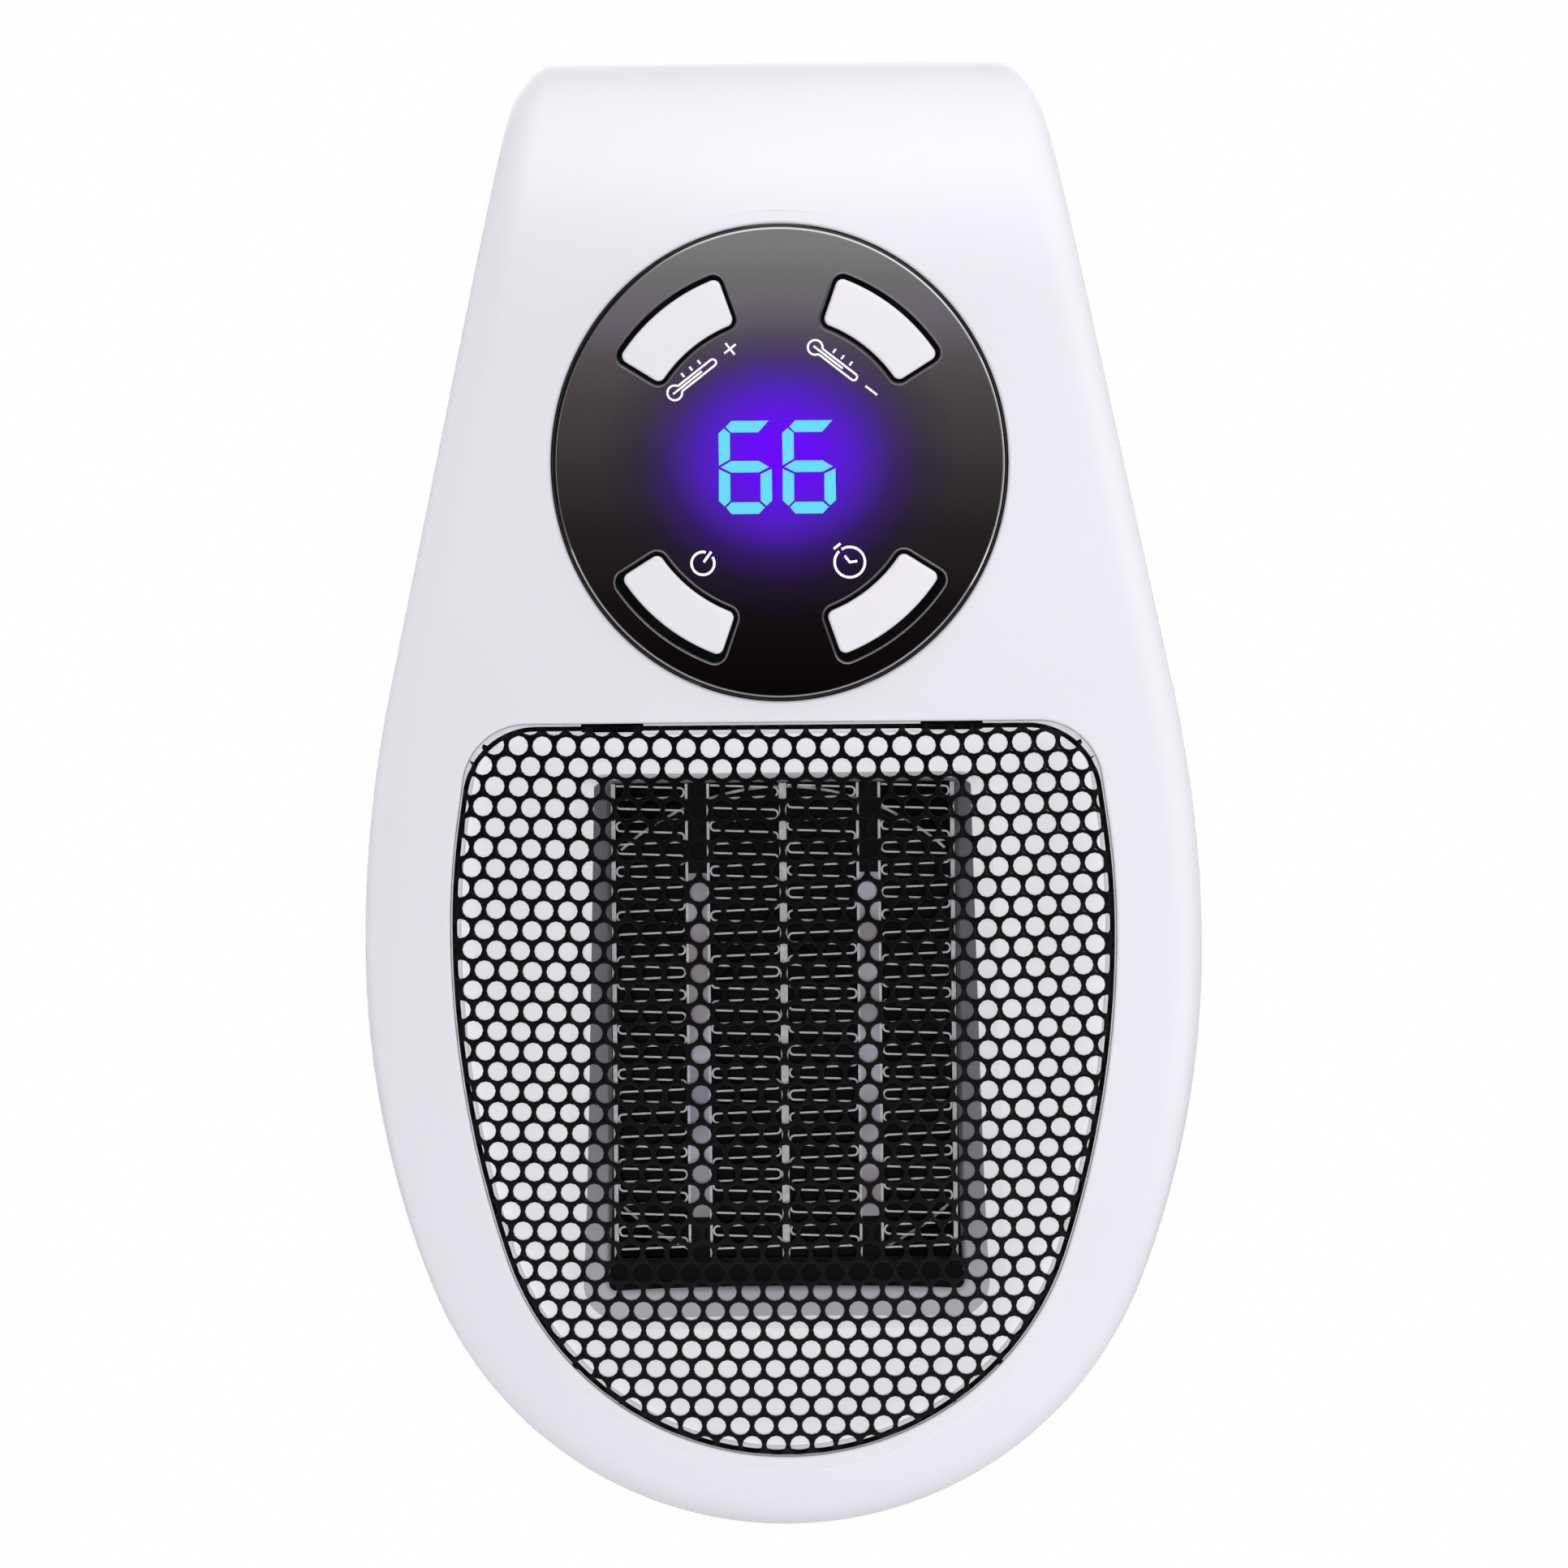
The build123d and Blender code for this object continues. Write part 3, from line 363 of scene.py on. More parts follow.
def unrolled(places):
    """Places with their height measured along the front's own curve."""
    places = np.array(places, float)
    z = places[:, 1]
    over = BROW_RADIUS * np.arcsin(np.clip((z - BROW_Z) / BROW_RADIUS, 0, 1))
    under = BELLY_RADIUS * np.arcsin(np.clip((BELLY_TOP - z) / BELLY_RADIUS, 0, 1))
    places[:, 1] = np.clip(z, BELLY_TOP, BROW_Z) + over - under
    return places


def rolled(places):
    """The places whose height along the front's curve is given."""
    places = np.array(places, float)
    way = places[:, 1]
    over = BROW_RADIUS * np.sin(np.clip((way - BROW_Z) / BROW_RADIUS, 0, math.pi / 2))
    under = BELLY_RADIUS * np.sin(np.clip((BELLY_TOP - way) / BELLY_RADIUS, 0, 1))
    places[:, 1] = np.clip(way, BELLY_TOP, BROW_Z) + over - under
    return places


# Meshes that grow ring by ring


class Form:
    """Points as across, up and depth in millimetres, and the faces between them."""

    def __init__(self):
        self.points = []
        self.faces = []

    def ring(self, places, depth):
        """Add places at a depth, at a depth each or on a surface, and give their numbers."""
        start = len(self.points)
        places = np.asarray(places, float)
        depths = depth(*places.T) if callable(depth) else np.broadcast_to(depth, len(places))
        self.points += [(x, z, low) for (x, z), low in zip(places, depths)]
        return list(range(start, len(self.points)))

    def strip(self, *rings):
        """Faces from each ring to the next."""
        for first, second in zip(rings, rings[1:]):
            for index in range(len(first)):
                after = (index + 1) % len(first)
                self.faces.append((first[index], first[after], second[after], second[index]))

    def wall(self, outline, profile):
        """Faces along an outline, through the rings at each (growth, depth) of a profile."""
        self.strip(*[self.ring(grown(outline, growth), depth) for growth, depth in profile])

    def fill(self, outer, holes, depth, spacing):
        """Even triangles inside an outer ring and outside the holes, at a depth or on a surface."""
        if callable(depth):
            places, triangles = triangulated(unrolled(outer), [unrolled(hole) for hole in holes], spacing)
            places = rolled(places)
        else:
            places, triangles = triangulated(outer, holes, spacing)
        ring = self.ring(places, depth)
        self.faces += [tuple(ring[index] for index in triangle) for triangle in triangles]

    def mesh(self, name, merge=0.002):
        """A mesh in metres, its doubles merged and its faces turned outwards."""
        mesh = bpy.data.meshes.new(name)
        mesh.from_pydata([(x * MM, -depth * MM, z * MM) for x, z, depth in self.points], [], self.faces)
        shape = bmesh.new()
        shape.from_mesh(mesh)
        bmesh.ops.remove_doubles(shape, verts=shape.verts, dist=merge * MM)
        bmesh.ops.recalc_face_normals(shape, faces=shape.faces)
        shape.to_mesh(mesh)
        shape.free()
        return mesh


def inside(places, rings):
    """Whether each place lies inside the first of the rings and outside the holes after it."""
    found = np.zeros(len(places), bool)
    for ring in rings:
        for (ax, az), (bx, bz) in zip(ring, np.roll(ring, -1, axis=0)):
            crosses = (az > places[:, 1]) != (bz > places[:, 1])
            if crosses.any():
                found ^= crosses & (places[:, 0] < ax + (places[:, 1] - az) * (bx - ax) / (bz - az))
    return found


# How much outlines are bent while they are filled, for each square millimetre
OUTLINE_BEND = 1e-5


def bent(places, way):
    """Places drawn in the more the further out they lie (way 1), or the same undone (way -1), so that
    no outline has a straight run along which triangles could be slivers."""
    places = np.asarray(places, float)
    return places / np.sqrt(1 + way * OUTLINE_BEND * (places ** 2).sum(axis=1))[:, None]


def place_tree(places):
    """A tree that finds the nearest of the places."""
    tree = kdtree.KDTree(len(places))
    for index, (x, z) in enumerate(places):
        tree.insert((x, z, 0), index)
    tree.balance()
    return tree


def triangulated(outer, holes, spacing):
    """Triangles that keep every ring's places, with evenly spaced places between the rings."""
    rings = [bent(ring, 1) for ring in (outer, *holes)]
    edges = []
    start = 0
    for ring in rings:
        edges += [(start + index, start + (index + 1) % len(ring)) for index in range(len(ring))]
        start += len(ring)
    border = np.vstack(rings)
    low = border.min(axis=0)
    high = border.max(axis=0)
    rows = np.arange(low[1] + spacing / 2, high[1], spacing * math.sqrt(3) / 2)
    field = np.array([(x, z) for number, z in enumerate(rows)
                      for x in np.arange(low[0] + spacing / 2 * (1 + number % 2), high[0], spacing)])
    field = field.reshape(-1, 2)
    tree = place_tree(border)
    field = [(x, z) for x, z in field[inside(field, rings)] if tree.find((x, z, 0))[2] > 0.55 * spacing]
    made = geometry.delaunay_2d_cdt([Vector(place) for place in [*border, *field]], edges, [], 0, 1e-7)
    places = np.array([tuple(place) for place in made[0]])
    triangles = np.array([tuple(triangle) for triangle in made[2]])
    return bent(places, -1), triangles[inside(places[triangles].mean(axis=1), rings)]


def quarter(radius, base, steps=5, grow=-1, sink=1, start=0):
    """A profile's rounded edge, from the wall to the surface. Its growth runs on from the start by grow
    times the radius, and it begins sink times the radius below the base."""
    turns = np.radians(np.linspace(0, 90, steps + 1))
    return [(start + grow * radius * (1 - math.cos(turn)),
             lowered(base, sink * radius * (1 - math.sin(turn)))) for turn in turns]


def lowered(depth, by):
    """A depth, or a depth function, moved away from the room."""
    if callable(depth):
        return lambda x, z: depth(x, z) - by
    return depth - by


def front_surface(inset):
    return lambda x, z: front_at(x, z, inset)


# Finished pieces

# The least cosine between a face and the front surface for it to count as a part of that surface
SURFACE_LEAN = math.cos(math.radians(10))
# How near a corner has to lie, in millimetres
SURFACE_REACH = 0.003


def new_object(name, data):
    """An object of some data, linked to the scene."""
    made = bpy.data.objects.new(name, data)
    bpy.context.scene.collection.objects.link(made)
    return made


def finish_piece(mesh, body, finish, replaces, smooth):
    """Link a mesh as a piece that rides on a body, and hide the nodes that it stands for."""
    piece = new_object(mesh.name, mesh)
    mesh.materials.clear()
    mesh.materials.append(finishes[finish])
    mesh.shade_smooth()
    mesh.set_sharp_from_angle(angle=math.radians(smooth))
    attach(piece, body)
    if replaces:
        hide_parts(*replaces)
    return piece


def values_of(items, name, width=1, kind=float):
    """One property of every item of a collection, as an array."""
    values = np.empty((len(items), width), kind)
    items.foreach_get(name, values.ravel())
    return values


def true_normals(piece, inset):
    """Turn the corners that lie on the front surface to its exact direction."""
    mesh = piece.data
    across, back, up = (values_of(mesh.vertices, "co", 3) / MM).T
    on_surface = np.abs(-back - front_at(across, up, inset)) < SURFACE_REACH
    exact = front_normals(across, up, inset)[:, [0, 2, 1]] * (1, -1, 1)
    corners = values_of(mesh.corner_normals, "vector", 3)
    owners = values_of(mesh.loops, "vertex_index", kind=int)[:, 0]
    sizes = values_of(mesh.polygons, "loop_total", kind=int)[:, 0]
    faces = np.repeat(values_of(mesh.polygons, "normal", 3), sizes, axis=0)
    chosen = on_surface[owners] & ((faces * exact[owners]).sum(axis=1) > SURFACE_LEAN)
    corners[chosen] = exact[owners[chosen]]
    mesh.normals_split_custom_set(corners.tolist())


def thicken(piece, wall):
    """Give a sheet its wall, inwards, then make it plain mesh again."""
    solid = piece.modifiers.new("wall", "SOLIDIFY")
    solid.thickness = wall * MM
    solid.offset = -1
    settle(piece)


def settle(piece):
    """Turn a piece's modifiers into plain mesh."""
    graph = bpy.context.evaluated_depsgraph_get()
    mesh = bpy.data.meshes.new_from_object(piece.evaluated_get(graph))
    mesh.name = piece.data.name
    piece.modifiers.clear()
    piece.data = mesh


def softened(node, bevel):
    """A copy of a node's mesh with its doubles merged, flat faces joined and sharp edges rounded."""
    mesh = bpy.data.meshes.new(f"{node}_moulded")
    shape = bmesh.new()
    shape.from_mesh(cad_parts[node].data)
    bmesh.ops.remove_doubles(shape, verts=shape.verts, dist=0.004 * MM)
    bmesh.ops.dissolve_limit(shape, angle_limit=math.radians(1), verts=shape.verts, edges=shape.edges)
    sharp = [edge for edge in shape.edges if edge.is_manifold and edge.calc_face_angle() > math.radians(30)]
    bmesh.ops.bevel(shape, geom=sharp, offset=bevel * MM, segments=2, profile=0.5,
                    affect="EDGES", clamp_overlap=True)
    shape.to_mesh(mesh)
    shape.free()
    return mesh


def placed_bars(name, bars, surface, height):
    """Thin raised shapes on a surface, such as printed strokes or lit segments."""
    form = Form()
    top = lowered(surface, -height)
    base = lowered(surface, height)
    for ring in bars:
        form.fill(ring, [], top, 0.8)
        form.strip(form.ring(ring, base), form.ring(ring, top))
        form.fill(ring, [], base, 0.8)
    return form.mesh(name, 0.001)


def stroke(points, width):
    """A closed band along a path, mitred at its turns."""
    points = [np.array(point, float) for point in points]
    left = []
    right = []
    for index, here in enumerate(points):
        before = here - points[index - 1] if index else points[1] - here
        after = points[index + 1] - here if index + 1 < len(points) else before
        before = before / np.linalg.norm(before)
        after = after / np.linalg.norm(after)
        normal = np.array([-before[1] - after[1], before[0] + after[0]])
        normal = normal / np.linalg.norm(normal)
        reach = width / 2 / max(normal @ np.array([-before[1], before[0]]), 0.4)
        left.append(here + reach * normal)
        right.append(here - reach * normal)
    return np.array(right + left[::-1])


def arc_points(centre, radius, first, last, count):
    return [polar(centre, radius, angle) for angle in np.linspace(first, last, count)]


# Materials


def add_node(tree, kind, inputs=None, **settings):
    """Add one node with its settings. Each input takes a value, a socket's link, or a link from a
    node's first output in use."""
    node = tree.nodes.new(kind)
    for name, value in settings.items():
        setattr(node, name, value)
    for name, value in (inputs or {}).items():
        if isinstance(value, bpy.types.Node):
            value = next(socket for socket in value.outputs if socket.enabled)
        if isinstance(value, bpy.types.NodeSocket):
            tree.links.new(value, node.inputs[name])
        else:
            node.inputs[name].default_value = value
    return node


def new_material(name, inputs):
    """A material with one shader, whose constant values sit on the shader's own sockets."""
    material = bpy.data.materials.new(name)
    material.use_nodes = True
    tree = material.node_tree
    tree.nodes.clear()
    shader = add_node(tree, "ShaderNodeBsdfPrincipled", inputs)
    add_node(tree, "ShaderNodeOutputMaterial", {"Surface": shader})
    return material, tree, shader


def as_linear(color):
    """A linear colour from an sRGB hex code, from a grey level or from a linear colour."""
    if isinstance(color, str):
        return socket_color(color)
    return (color, color, color, 1.0) if isinstance(color, float) else tuple(color)


def set_ramp(node, stops, interpolation="LINEAR"):
    """Give a colour ramp its stops, a colour for each position, and return its node."""
    ramp = node.color_ramp
    ramp.interpolation = interpolation
    ramp.elements.remove(ramp.elements[-1])
    for number, (position, color) in enumerate(stops.items()):
        element = ramp.elements.new(position) if number else ramp.elements[0]
        element.position = position
        element.color = as_linear(color)
    return node


def add_grain(tree, shader, size, strength):
    """A fine bump of the given grain size in millimetres, on Object coordinates."""
    place = add_node(tree, "ShaderNodeTexCoord").outputs["Object"]
    noise = add_node(tree, "ShaderNodeTexNoise", {"Vector": place, "Scale": 1 / (size * MM), "Detail": 2.0})
    bump = add_node(tree, "ShaderNodeBump", {"Height": noise, "Strength": strength, "Distance": 0.05 * MM})
    tree.links.new(bump.outputs["Normal"], shader.inputs["Normal"])


def add_mottle(tree, shader, size, stops, detail=3.0):
    """Slow colour variation through a ramp's stops, with patches of the given size in millimetres."""
    place = add_node(tree, "ShaderNodeTexCoord").outputs["Object"]
    noise = add_node(tree, "ShaderNodeTexNoise", {"Vector": place, "Scale": 1 / (size * MM),
                                                  "Detail": detail})
    ramp = set_ramp(add_node(tree, "ShaderNodeValToRGB", {"Fac": noise}), stops)
    tree.links.new(ramp.outputs["Color"], shader.inputs["Base Color"])


def shaded(color, share):
    return (*[part * share for part in as_linear(color)[:3]], 1.0)


def plain_material(name, values, mottle, grain=None):
    """A material with its shader's values, its mottle's size, stops and detail, and its grain's size
    and strength."""
    material, tree, shader = new_material(name, values)
    add_mottle(tree, shader, *mottle)
    if grain:
        add_grain(tree, shader, *grain)
    return material


def moulded_plastic(name, color, roughness, grain=0.35, strength=0.05):
    """Injection-moulded plastic: an even colour, a satin sheen and a barely visible spark texture."""
    return plain_material(name, {"Roughness": roughness, "IOR": 1.5},
                          (25, {0.35: shaded(color, 0.985), 0.65: color}), (grain, strength))


def smoked_acrylic():
    """Polished smoked acrylic: deep and black, with a painted reflection that makes it paler towards its top
    edge, and the display's violet light spreading in it."""
    material, tree, shader = new_material("smoked_acrylic", {
        "Roughness": 0.09, "IOR": 1.49, "Specular IOR Level": 0.35, "Emission Strength": 1.0})
    place = add_node(tree, "ShaderNodeTexCoord").outputs["Object"]
    parts = add_node(tree, "ShaderNodeSeparateXYZ", {"Vector": place})
    height = add_node(tree, "ShaderNodeMapRange", {
        "Value": parts.outputs["Z"], "From Min": (PANEL_CENTRE - PANEL_HALF_HEIGHT) * MM,
        "From Max": (PANEL_CENTRE + PANEL_HALF_HEIGHT) * MM})
    # Painted reflection: the base colour runs from near black at the bottom to grey at the top, in place of
    # the overhead light mirrored in the domed lens
    painted_reflection = set_ramp(add_node(tree, "ShaderNodeValToRGB", {"Fac": height}), {
        0.0: "#060203", 0.105: "#0D0708", 0.19: "#140E12", 0.36: "#25201F", 0.5: "#373334",
        0.63: "#474142", 0.72: "#544D51", 0.8: "#67606A", 0.88: "#6B6A6B", 0.96: "#767676"})
    # One at the rim and less inside it, so that the black border can be told apart
    scaled = add_node(tree, "ShaderNodeVectorMath", {
        0: place, 1: (1 / (PANEL_HALF_WIDTH * MM), 0, 1 / (PANEL_HALF_HEIGHT * MM)),
        2: (0, 0, -PANEL_CENTRE / PANEL_HALF_HEIGHT)}, operation="MULTIPLY_ADD")
    reached = add_node(tree, "ShaderNodeVectorMath", {0: scaled}, operation="LENGTH")
    border = add_node(tree, "ShaderNodeMath", {0: reached, 1: 1 - BORDER_WIDTH / PANEL_HALF_WIDTH},
                      operation="GREATER_THAN")
    masked = add_node(tree, "ShaderNodeMix", {"Factor": border, "A": painted_reflection, "B": socket_color("#0A0709")},
                      data_type="RGBA")
    # How far the display's light has come, from its middle outwards
    offset = add_node(tree, "ShaderNodeVectorMath", {0: place, 1: (0, 0, -GLOW_CENTRE * MM)},
                      operation="ADD")
    flat = add_node(tree, "ShaderNodeVectorMath", {0: offset, 1: (1, 0, GLOW_SQUASH)}, operation="MULTIPLY")
    length = add_node(tree, "ShaderNodeVectorMath", {0: flat}, operation="LENGTH")
    reach = add_node(tree, "ShaderNodeMapRange", {"Value": length, "From Min": 0.0,
                                                "From Max": GLOW_REACH * MM})
    cover = set_ramp(add_node(tree, "ShaderNodeValToRGB", {"Fac": reach}),
                     {0.0: 1.0, 0.38: 0.95, 0.6: 0.6, 0.9: 0.0}, "B_SPLINE")
    black = add_node(tree, "ShaderNodeMix", {"Factor": cover, "A": masked, "B": as_linear(0.0)},
                     data_type="RGBA")
    tree.links.new(black.outputs[2], shader.inputs["Base Color"])
    glow = set_ramp(add_node(tree, "ShaderNodeValToRGB", {"Fac": reach}), {
        0.0: "#6B07FC", 0.16: "#6708F8", 0.38: "#511AC4", 0.48: "#42189A", 0.6: "#2C0F5E",
        0.75: "#120628", 0.95: "#000000"})
    tree.links.new(glow.outputs["Color"], shader.inputs["Emission Color"])
    return material


def polished_edge():
    """The acrylic's flame-polished bevels, glossier here than they are, so that so thin a line shows."""
    return plain_material("polished_bevel", {"Roughness": 0.08, "IOR": 2.6, "Specular IOR Level": 1.0},
                          (3, {0.35: "#0A0A0B", 0.65: "#151416"}))


def lit_segment(color):
    """A lit segment of the display: plain light of its own."""
    material, tree, shader = new_material("lit_segment", {
        "Base Color": (0, 0, 0, 1), "Roughness": 0.4, "Specular IOR Level": 0.1,
        "Emission Color": color, "Emission Strength": 1.0})
    add_grain(tree, shader, 0.5, 0.02)
    return material


def screen_ink():
    """White screen-printed ink, fired thin and matt, with a faint painted glow that makes it brighter than
    the lamps alone would.
    """
    return plain_material("screen_ink", {
        # Painted glow: a faint white emission of the ink's own, though the ink is no lamp
        "Roughness": 0.6, "Specular IOR Level": 0.2, "Emission Color": socket_color("#FFFFFF"),
        "Emission Strength": 0.15}, (1.5, {0.35: "#E4E2E6", 0.65: "#F6F5F8"}))


def powder_coat():
    """Black powder coat on perforated steel: fine orange peel and a dull satin gloss."""
    return plain_material("black_powder_coat", {"Roughness": 0.42, "IOR": 1.5, "Specular IOR Level": 0.2},
                          (6, {0.35: "#050506", 0.65: "#0B0A0C"}), (0.25, 0.2))


def rolled_aluminium():
    """Thin rolled aluminium, dulled by its brazing flux: pale grey, with faint rolling lines."""
    material, tree, shader = new_material("rolled_aluminium", {"Metallic": 0.3, "Roughness": 0.5})
    place = add_node(tree, "ShaderNodeTexCoord").outputs["Object"]
    lines = add_node(tree, "ShaderNodeTexWave", {
        "Vector": place, "Scale": 1 / (0.8 * MM), "Distortion": 3.0, "Detail": 2.0}, bands_direction="Y")
    ramp = set_ramp(add_node(tree, "ShaderNodeValToRGB", {"Fac": lines.outputs["Fac"]}),
                    {0.0: "#C6C7CB", 1.0: "#E2E3E6"})
    tree.links.new(ramp.outputs["Color"], shader.inputs["Base Color"])
    return material


def ptc_film():
    """A ceramic heating bar in its heat-proof film: grey, blue-grey and brown patches."""
    return plain_material("ceramic_in_film", {"Roughness": 0.45, "IOR": 1.6}, (
        9, {0.3: "#7F766F", 0.45: "#8F8B93", 0.55: "#A8A6B2", 0.7: "#85838F"}, 1.0))


def turned_metal(name, color, roughness):
    """Plated or drawn metal with faint turning lines."""
    return plain_material(name, {"Metallic": 1.0, "Roughness": roughness},
                          (4, {0.35: shaded(color, 0.9), 0.65: color}), (0.2, 0.08))


def circuit_laminate(name, low, high):
    """Glass-fibre board under solder mask, with its faint weave."""
    material, tree, shader = new_material(name, {"Roughness": 0.3, "IOR": 1.5})
    place = add_node(tree, "ShaderNodeTexCoord").outputs["Object"]
    weave = add_node(tree, "ShaderNodeTexChecker", {
        "Vector": place, "Scale": 1 / (0.6 * MM), "Color1": socket_color(low), "Color2": socket_color(high)})
    tree.links.new(weave.outputs["Color"], shader.inputs["Base Color"])
    return material


finishes = {}


def make_finishes(colours):
    """Every material, by the name of what it is."""
    finishes.update(
        shell=moulded_plastic("white_abs", colours.shell, 0.36),
        key=moulded_plastic("white_key_abs", colours.key, 0.32, 0.3, 0.03),
        lens=smoked_acrylic(),
        bevel=polished_edge(),
        digit=lit_segment(tuple(colours.digits)),
        ink=screen_ink(),
        grille=powder_coat(),
        tray=moulded_plastic("white_pbt", "#FAF9FD", 0.4),
        # A greyer copy of the tray's plastic for the throat's walls: painted shade where they lie in the
        # shadow of the core's frame
        liner=moulded_plastic("greyed_pbt", "#BDBBC3", 0.5),
        black=moulded_plastic("black_polypropylene", "#141416", 0.42, 0.4, 0.15),
        dark=moulded_plastic("black_pps", "#0B0B0C", 0.5, 0.3, 0.2),
        grey=moulded_plastic("grey_polypropylene", "#74757B", 0.45),
        green=moulded_plastic("green_polyamide", "#2A6B3E", 0.45),
        fins=rolled_aluminium(),
        film=ptc_film(),
        nickel=turned_metal("nickel_plate", "#D8D4CB", 0.22),
        steel=turned_metal("zinc_plated_steel", "#A9AAAE", 0.3),
        board=circuit_laminate("green_circuit_board", "#174D2C", "#1B5632"),
        dark_board=circuit_laminate("black_circuit_board", "#0B0C0C", "#101211"),
    )


def apply_nodes(piece, tree, values):
    """Run a node tree on a piece with its named inputs set, and keep the plain mesh."""
    modifier = piece.modifiers.new(tree.name, "NODES")
    modifier.node_group = tree
    for item in tree.interface.items_tree:
        if item.item_type == "SOCKET" and item.in_out == "INPUT" and item.name in values:
            modifier[item.identifier] = values[item.name]
    settle(piece)


def new_tree(name, **inputs):
    """A geometry tree with named inputs, a finish last, and the node that gives them."""
    tree = bpy.data.node_groups.new(name, "GeometryNodeTree")
    for label, kind in {"Geometry": "Geometry", **inputs, "Finish": "Material"}.items():
        tree.interface.new_socket(label, in_out="INPUT", socket_type=f"NodeSocket{kind}")
    tree.interface.new_socket("Geometry", in_out="OUTPUT", socket_type="NodeSocketGeometry")
    return tree, add_node(tree, "NodeGroupInput")


def end_tree(tree, given, made, merged=False):
    """Make what a tree has built real mesh in its finish, with its doubles merged where asked."""
    made = add_node(tree, "GeometryNodeRealizeInstances", {"Geometry": made})
    if merged:
        made = add_node(tree, "GeometryNodeMergeByDistance", {
            "Geometry": made, "Distance": given.outputs["Merge"]})
    made = add_node(tree, "GeometryNodeSetMaterial", {
        "Geometry": made, "Material": given.outputs["Finish"]})
    add_node(tree, "NodeGroupOutput", {"Geometry": made})
    return tree


def copies_tree(name):
    """Sets a copy of one object on every point."""
    tree, given = new_tree(name, Copied="Object", Merge="Float")
    copied = add_node(tree, "GeometryNodeObjectInfo", {
        "Object": given.outputs["Copied"], "As Instance": True}, transform_space="ORIGINAL")
    placed = add_node(tree, "GeometryNodeInstanceOnPoints", {
        "Points": given, "Instance": copied.outputs["Geometry"]})
    return end_tree(tree, given, placed, True)


def ribbon_tree():
    """Rounds a folded path's turns and gives it the depth and gauge of a strip."""
    tree, given = new_tree("folded_strip", Turn="Float", Depth="Float", Gauge="Float")
    path = add_node(tree, "GeometryNodeMeshToCurve", {"Mesh": given})
    turned = add_node(tree, "GeometryNodeFilletCurve", {
        "Curve": path, "Radius": given.outputs["Turn"], "Count": 5, "Limit Radius": True}, mode="POLY")
    upright = add_node(tree, "GeometryNodeSetCurveNormal", {"Curve": turned, "Normal": (0, 1, 0)},
                       mode="FREE")
    section = add_node(tree, "GeometryNodeCurvePrimitiveQuadrilateral", {
        "Width": given.outputs["Depth"], "Height": given.outputs["Gauge"]})
    strip = add_node(tree, "GeometryNodeCurveToMesh", {
        "Curve": upright, "Profile Curve": section, "Fill Caps": True})
    return end_tree(tree, given, strip)


def points_mesh(name, places):
    mesh = bpy.data.meshes.new(name)
    mesh.from_pydata([tuple(place) for place in places], [], [])
    return mesh


def made_by(tree, values, mesh, name):
    """A named copy of the plain mesh that a tree makes of a mesh."""
    helper = new_object(mesh.name, mesh)
    apply_nodes(helper, tree, values)
    made = helper.data.copy()
    drop(helper)
    made.name = name
    return made


def drop(helper):
    """Remove an object that only served to make another, and its mesh."""
    mesh = helper.data
    bpy.data.objects.remove(helper)
    if mesh.users == 0:
        bpy.data.meshes.remove(mesh)


# Housing


def seam_edge(side, depth):
    """The profile of one shell's edge at the parting line, from its outside to its tongue."""
    return [(0, depth + side * SEAM_ROUND), (-0.08, depth + side * 0.1), (-0.3, depth), (-0.7, depth),
            (-1.1, depth), (-1.1, depth - TONGUE)]


def front_shell_mesh(opening_round):
    """The room side: the domed front, its rounded crease, the side walls and both openings."""
    form = Form()
    outline = pear_outline(**HOUSING)
    centres = grown(outline, -EDGE_ROUND)
    floor = front_at(*centres.T, EDGE_ROUND)
    up = front_normals(*centres.T, EDGE_ROUND)
    side = np.column_stack([outline[:, 2:], np.zeros(len(outline))])
    swing = np.arccos(np.clip((up * side).sum(axis=1), -1, 1))[:, None]
    wall_foot = PARTING_DEPTH + 0.6
    rings = [(grown(outline, 0), wall_foot + share * (floor - wall_foot))
             for share in np.linspace(0, 1, 9)[:-1]]
    for share in np.linspace(0, 1, 13):
        turned = np.sin((1 - share) * swing) * side + np.sin(share * swing) * up
        turned = np.where(swing < 1e-3, side, turned / np.maximum(np.sin(swing), 1e-3))
        rings.append((centres + EDGE_ROUND * turned[:, :2], floor + EDGE_ROUND * turned[:, 2]))
    form.strip(*[form.ring(*row) for row in rings])
    form.wall(outline, [(0, wall_foot), *seam_edge(1, PARTING_DEPTH)])
    surface = front_surface(0.0)
    oval = oval_outline((0, PANEL_CENTRE), PANEL_HALF_WIDTH + SEAT_PLAY, PANEL_HALF_HEIGHT + SEAT_PLAY)
    pear = opening_outline()
    for opening, reach in ((oval, SEAT_REACH), (pear, OPENING_REACH)):
        rows = [(0, lowered(surface, reach)), (0, lowered(surface, reach / 2))]
        form.wall(opening, rows + quarter(opening_round, surface, grow=1))
    holes = [grown(oval, opening_round), grown(pear, opening_round)]
    form.fill(rings[-1][0], holes, surface, 1.9)
    return form.mesh("front_shell_moulded")


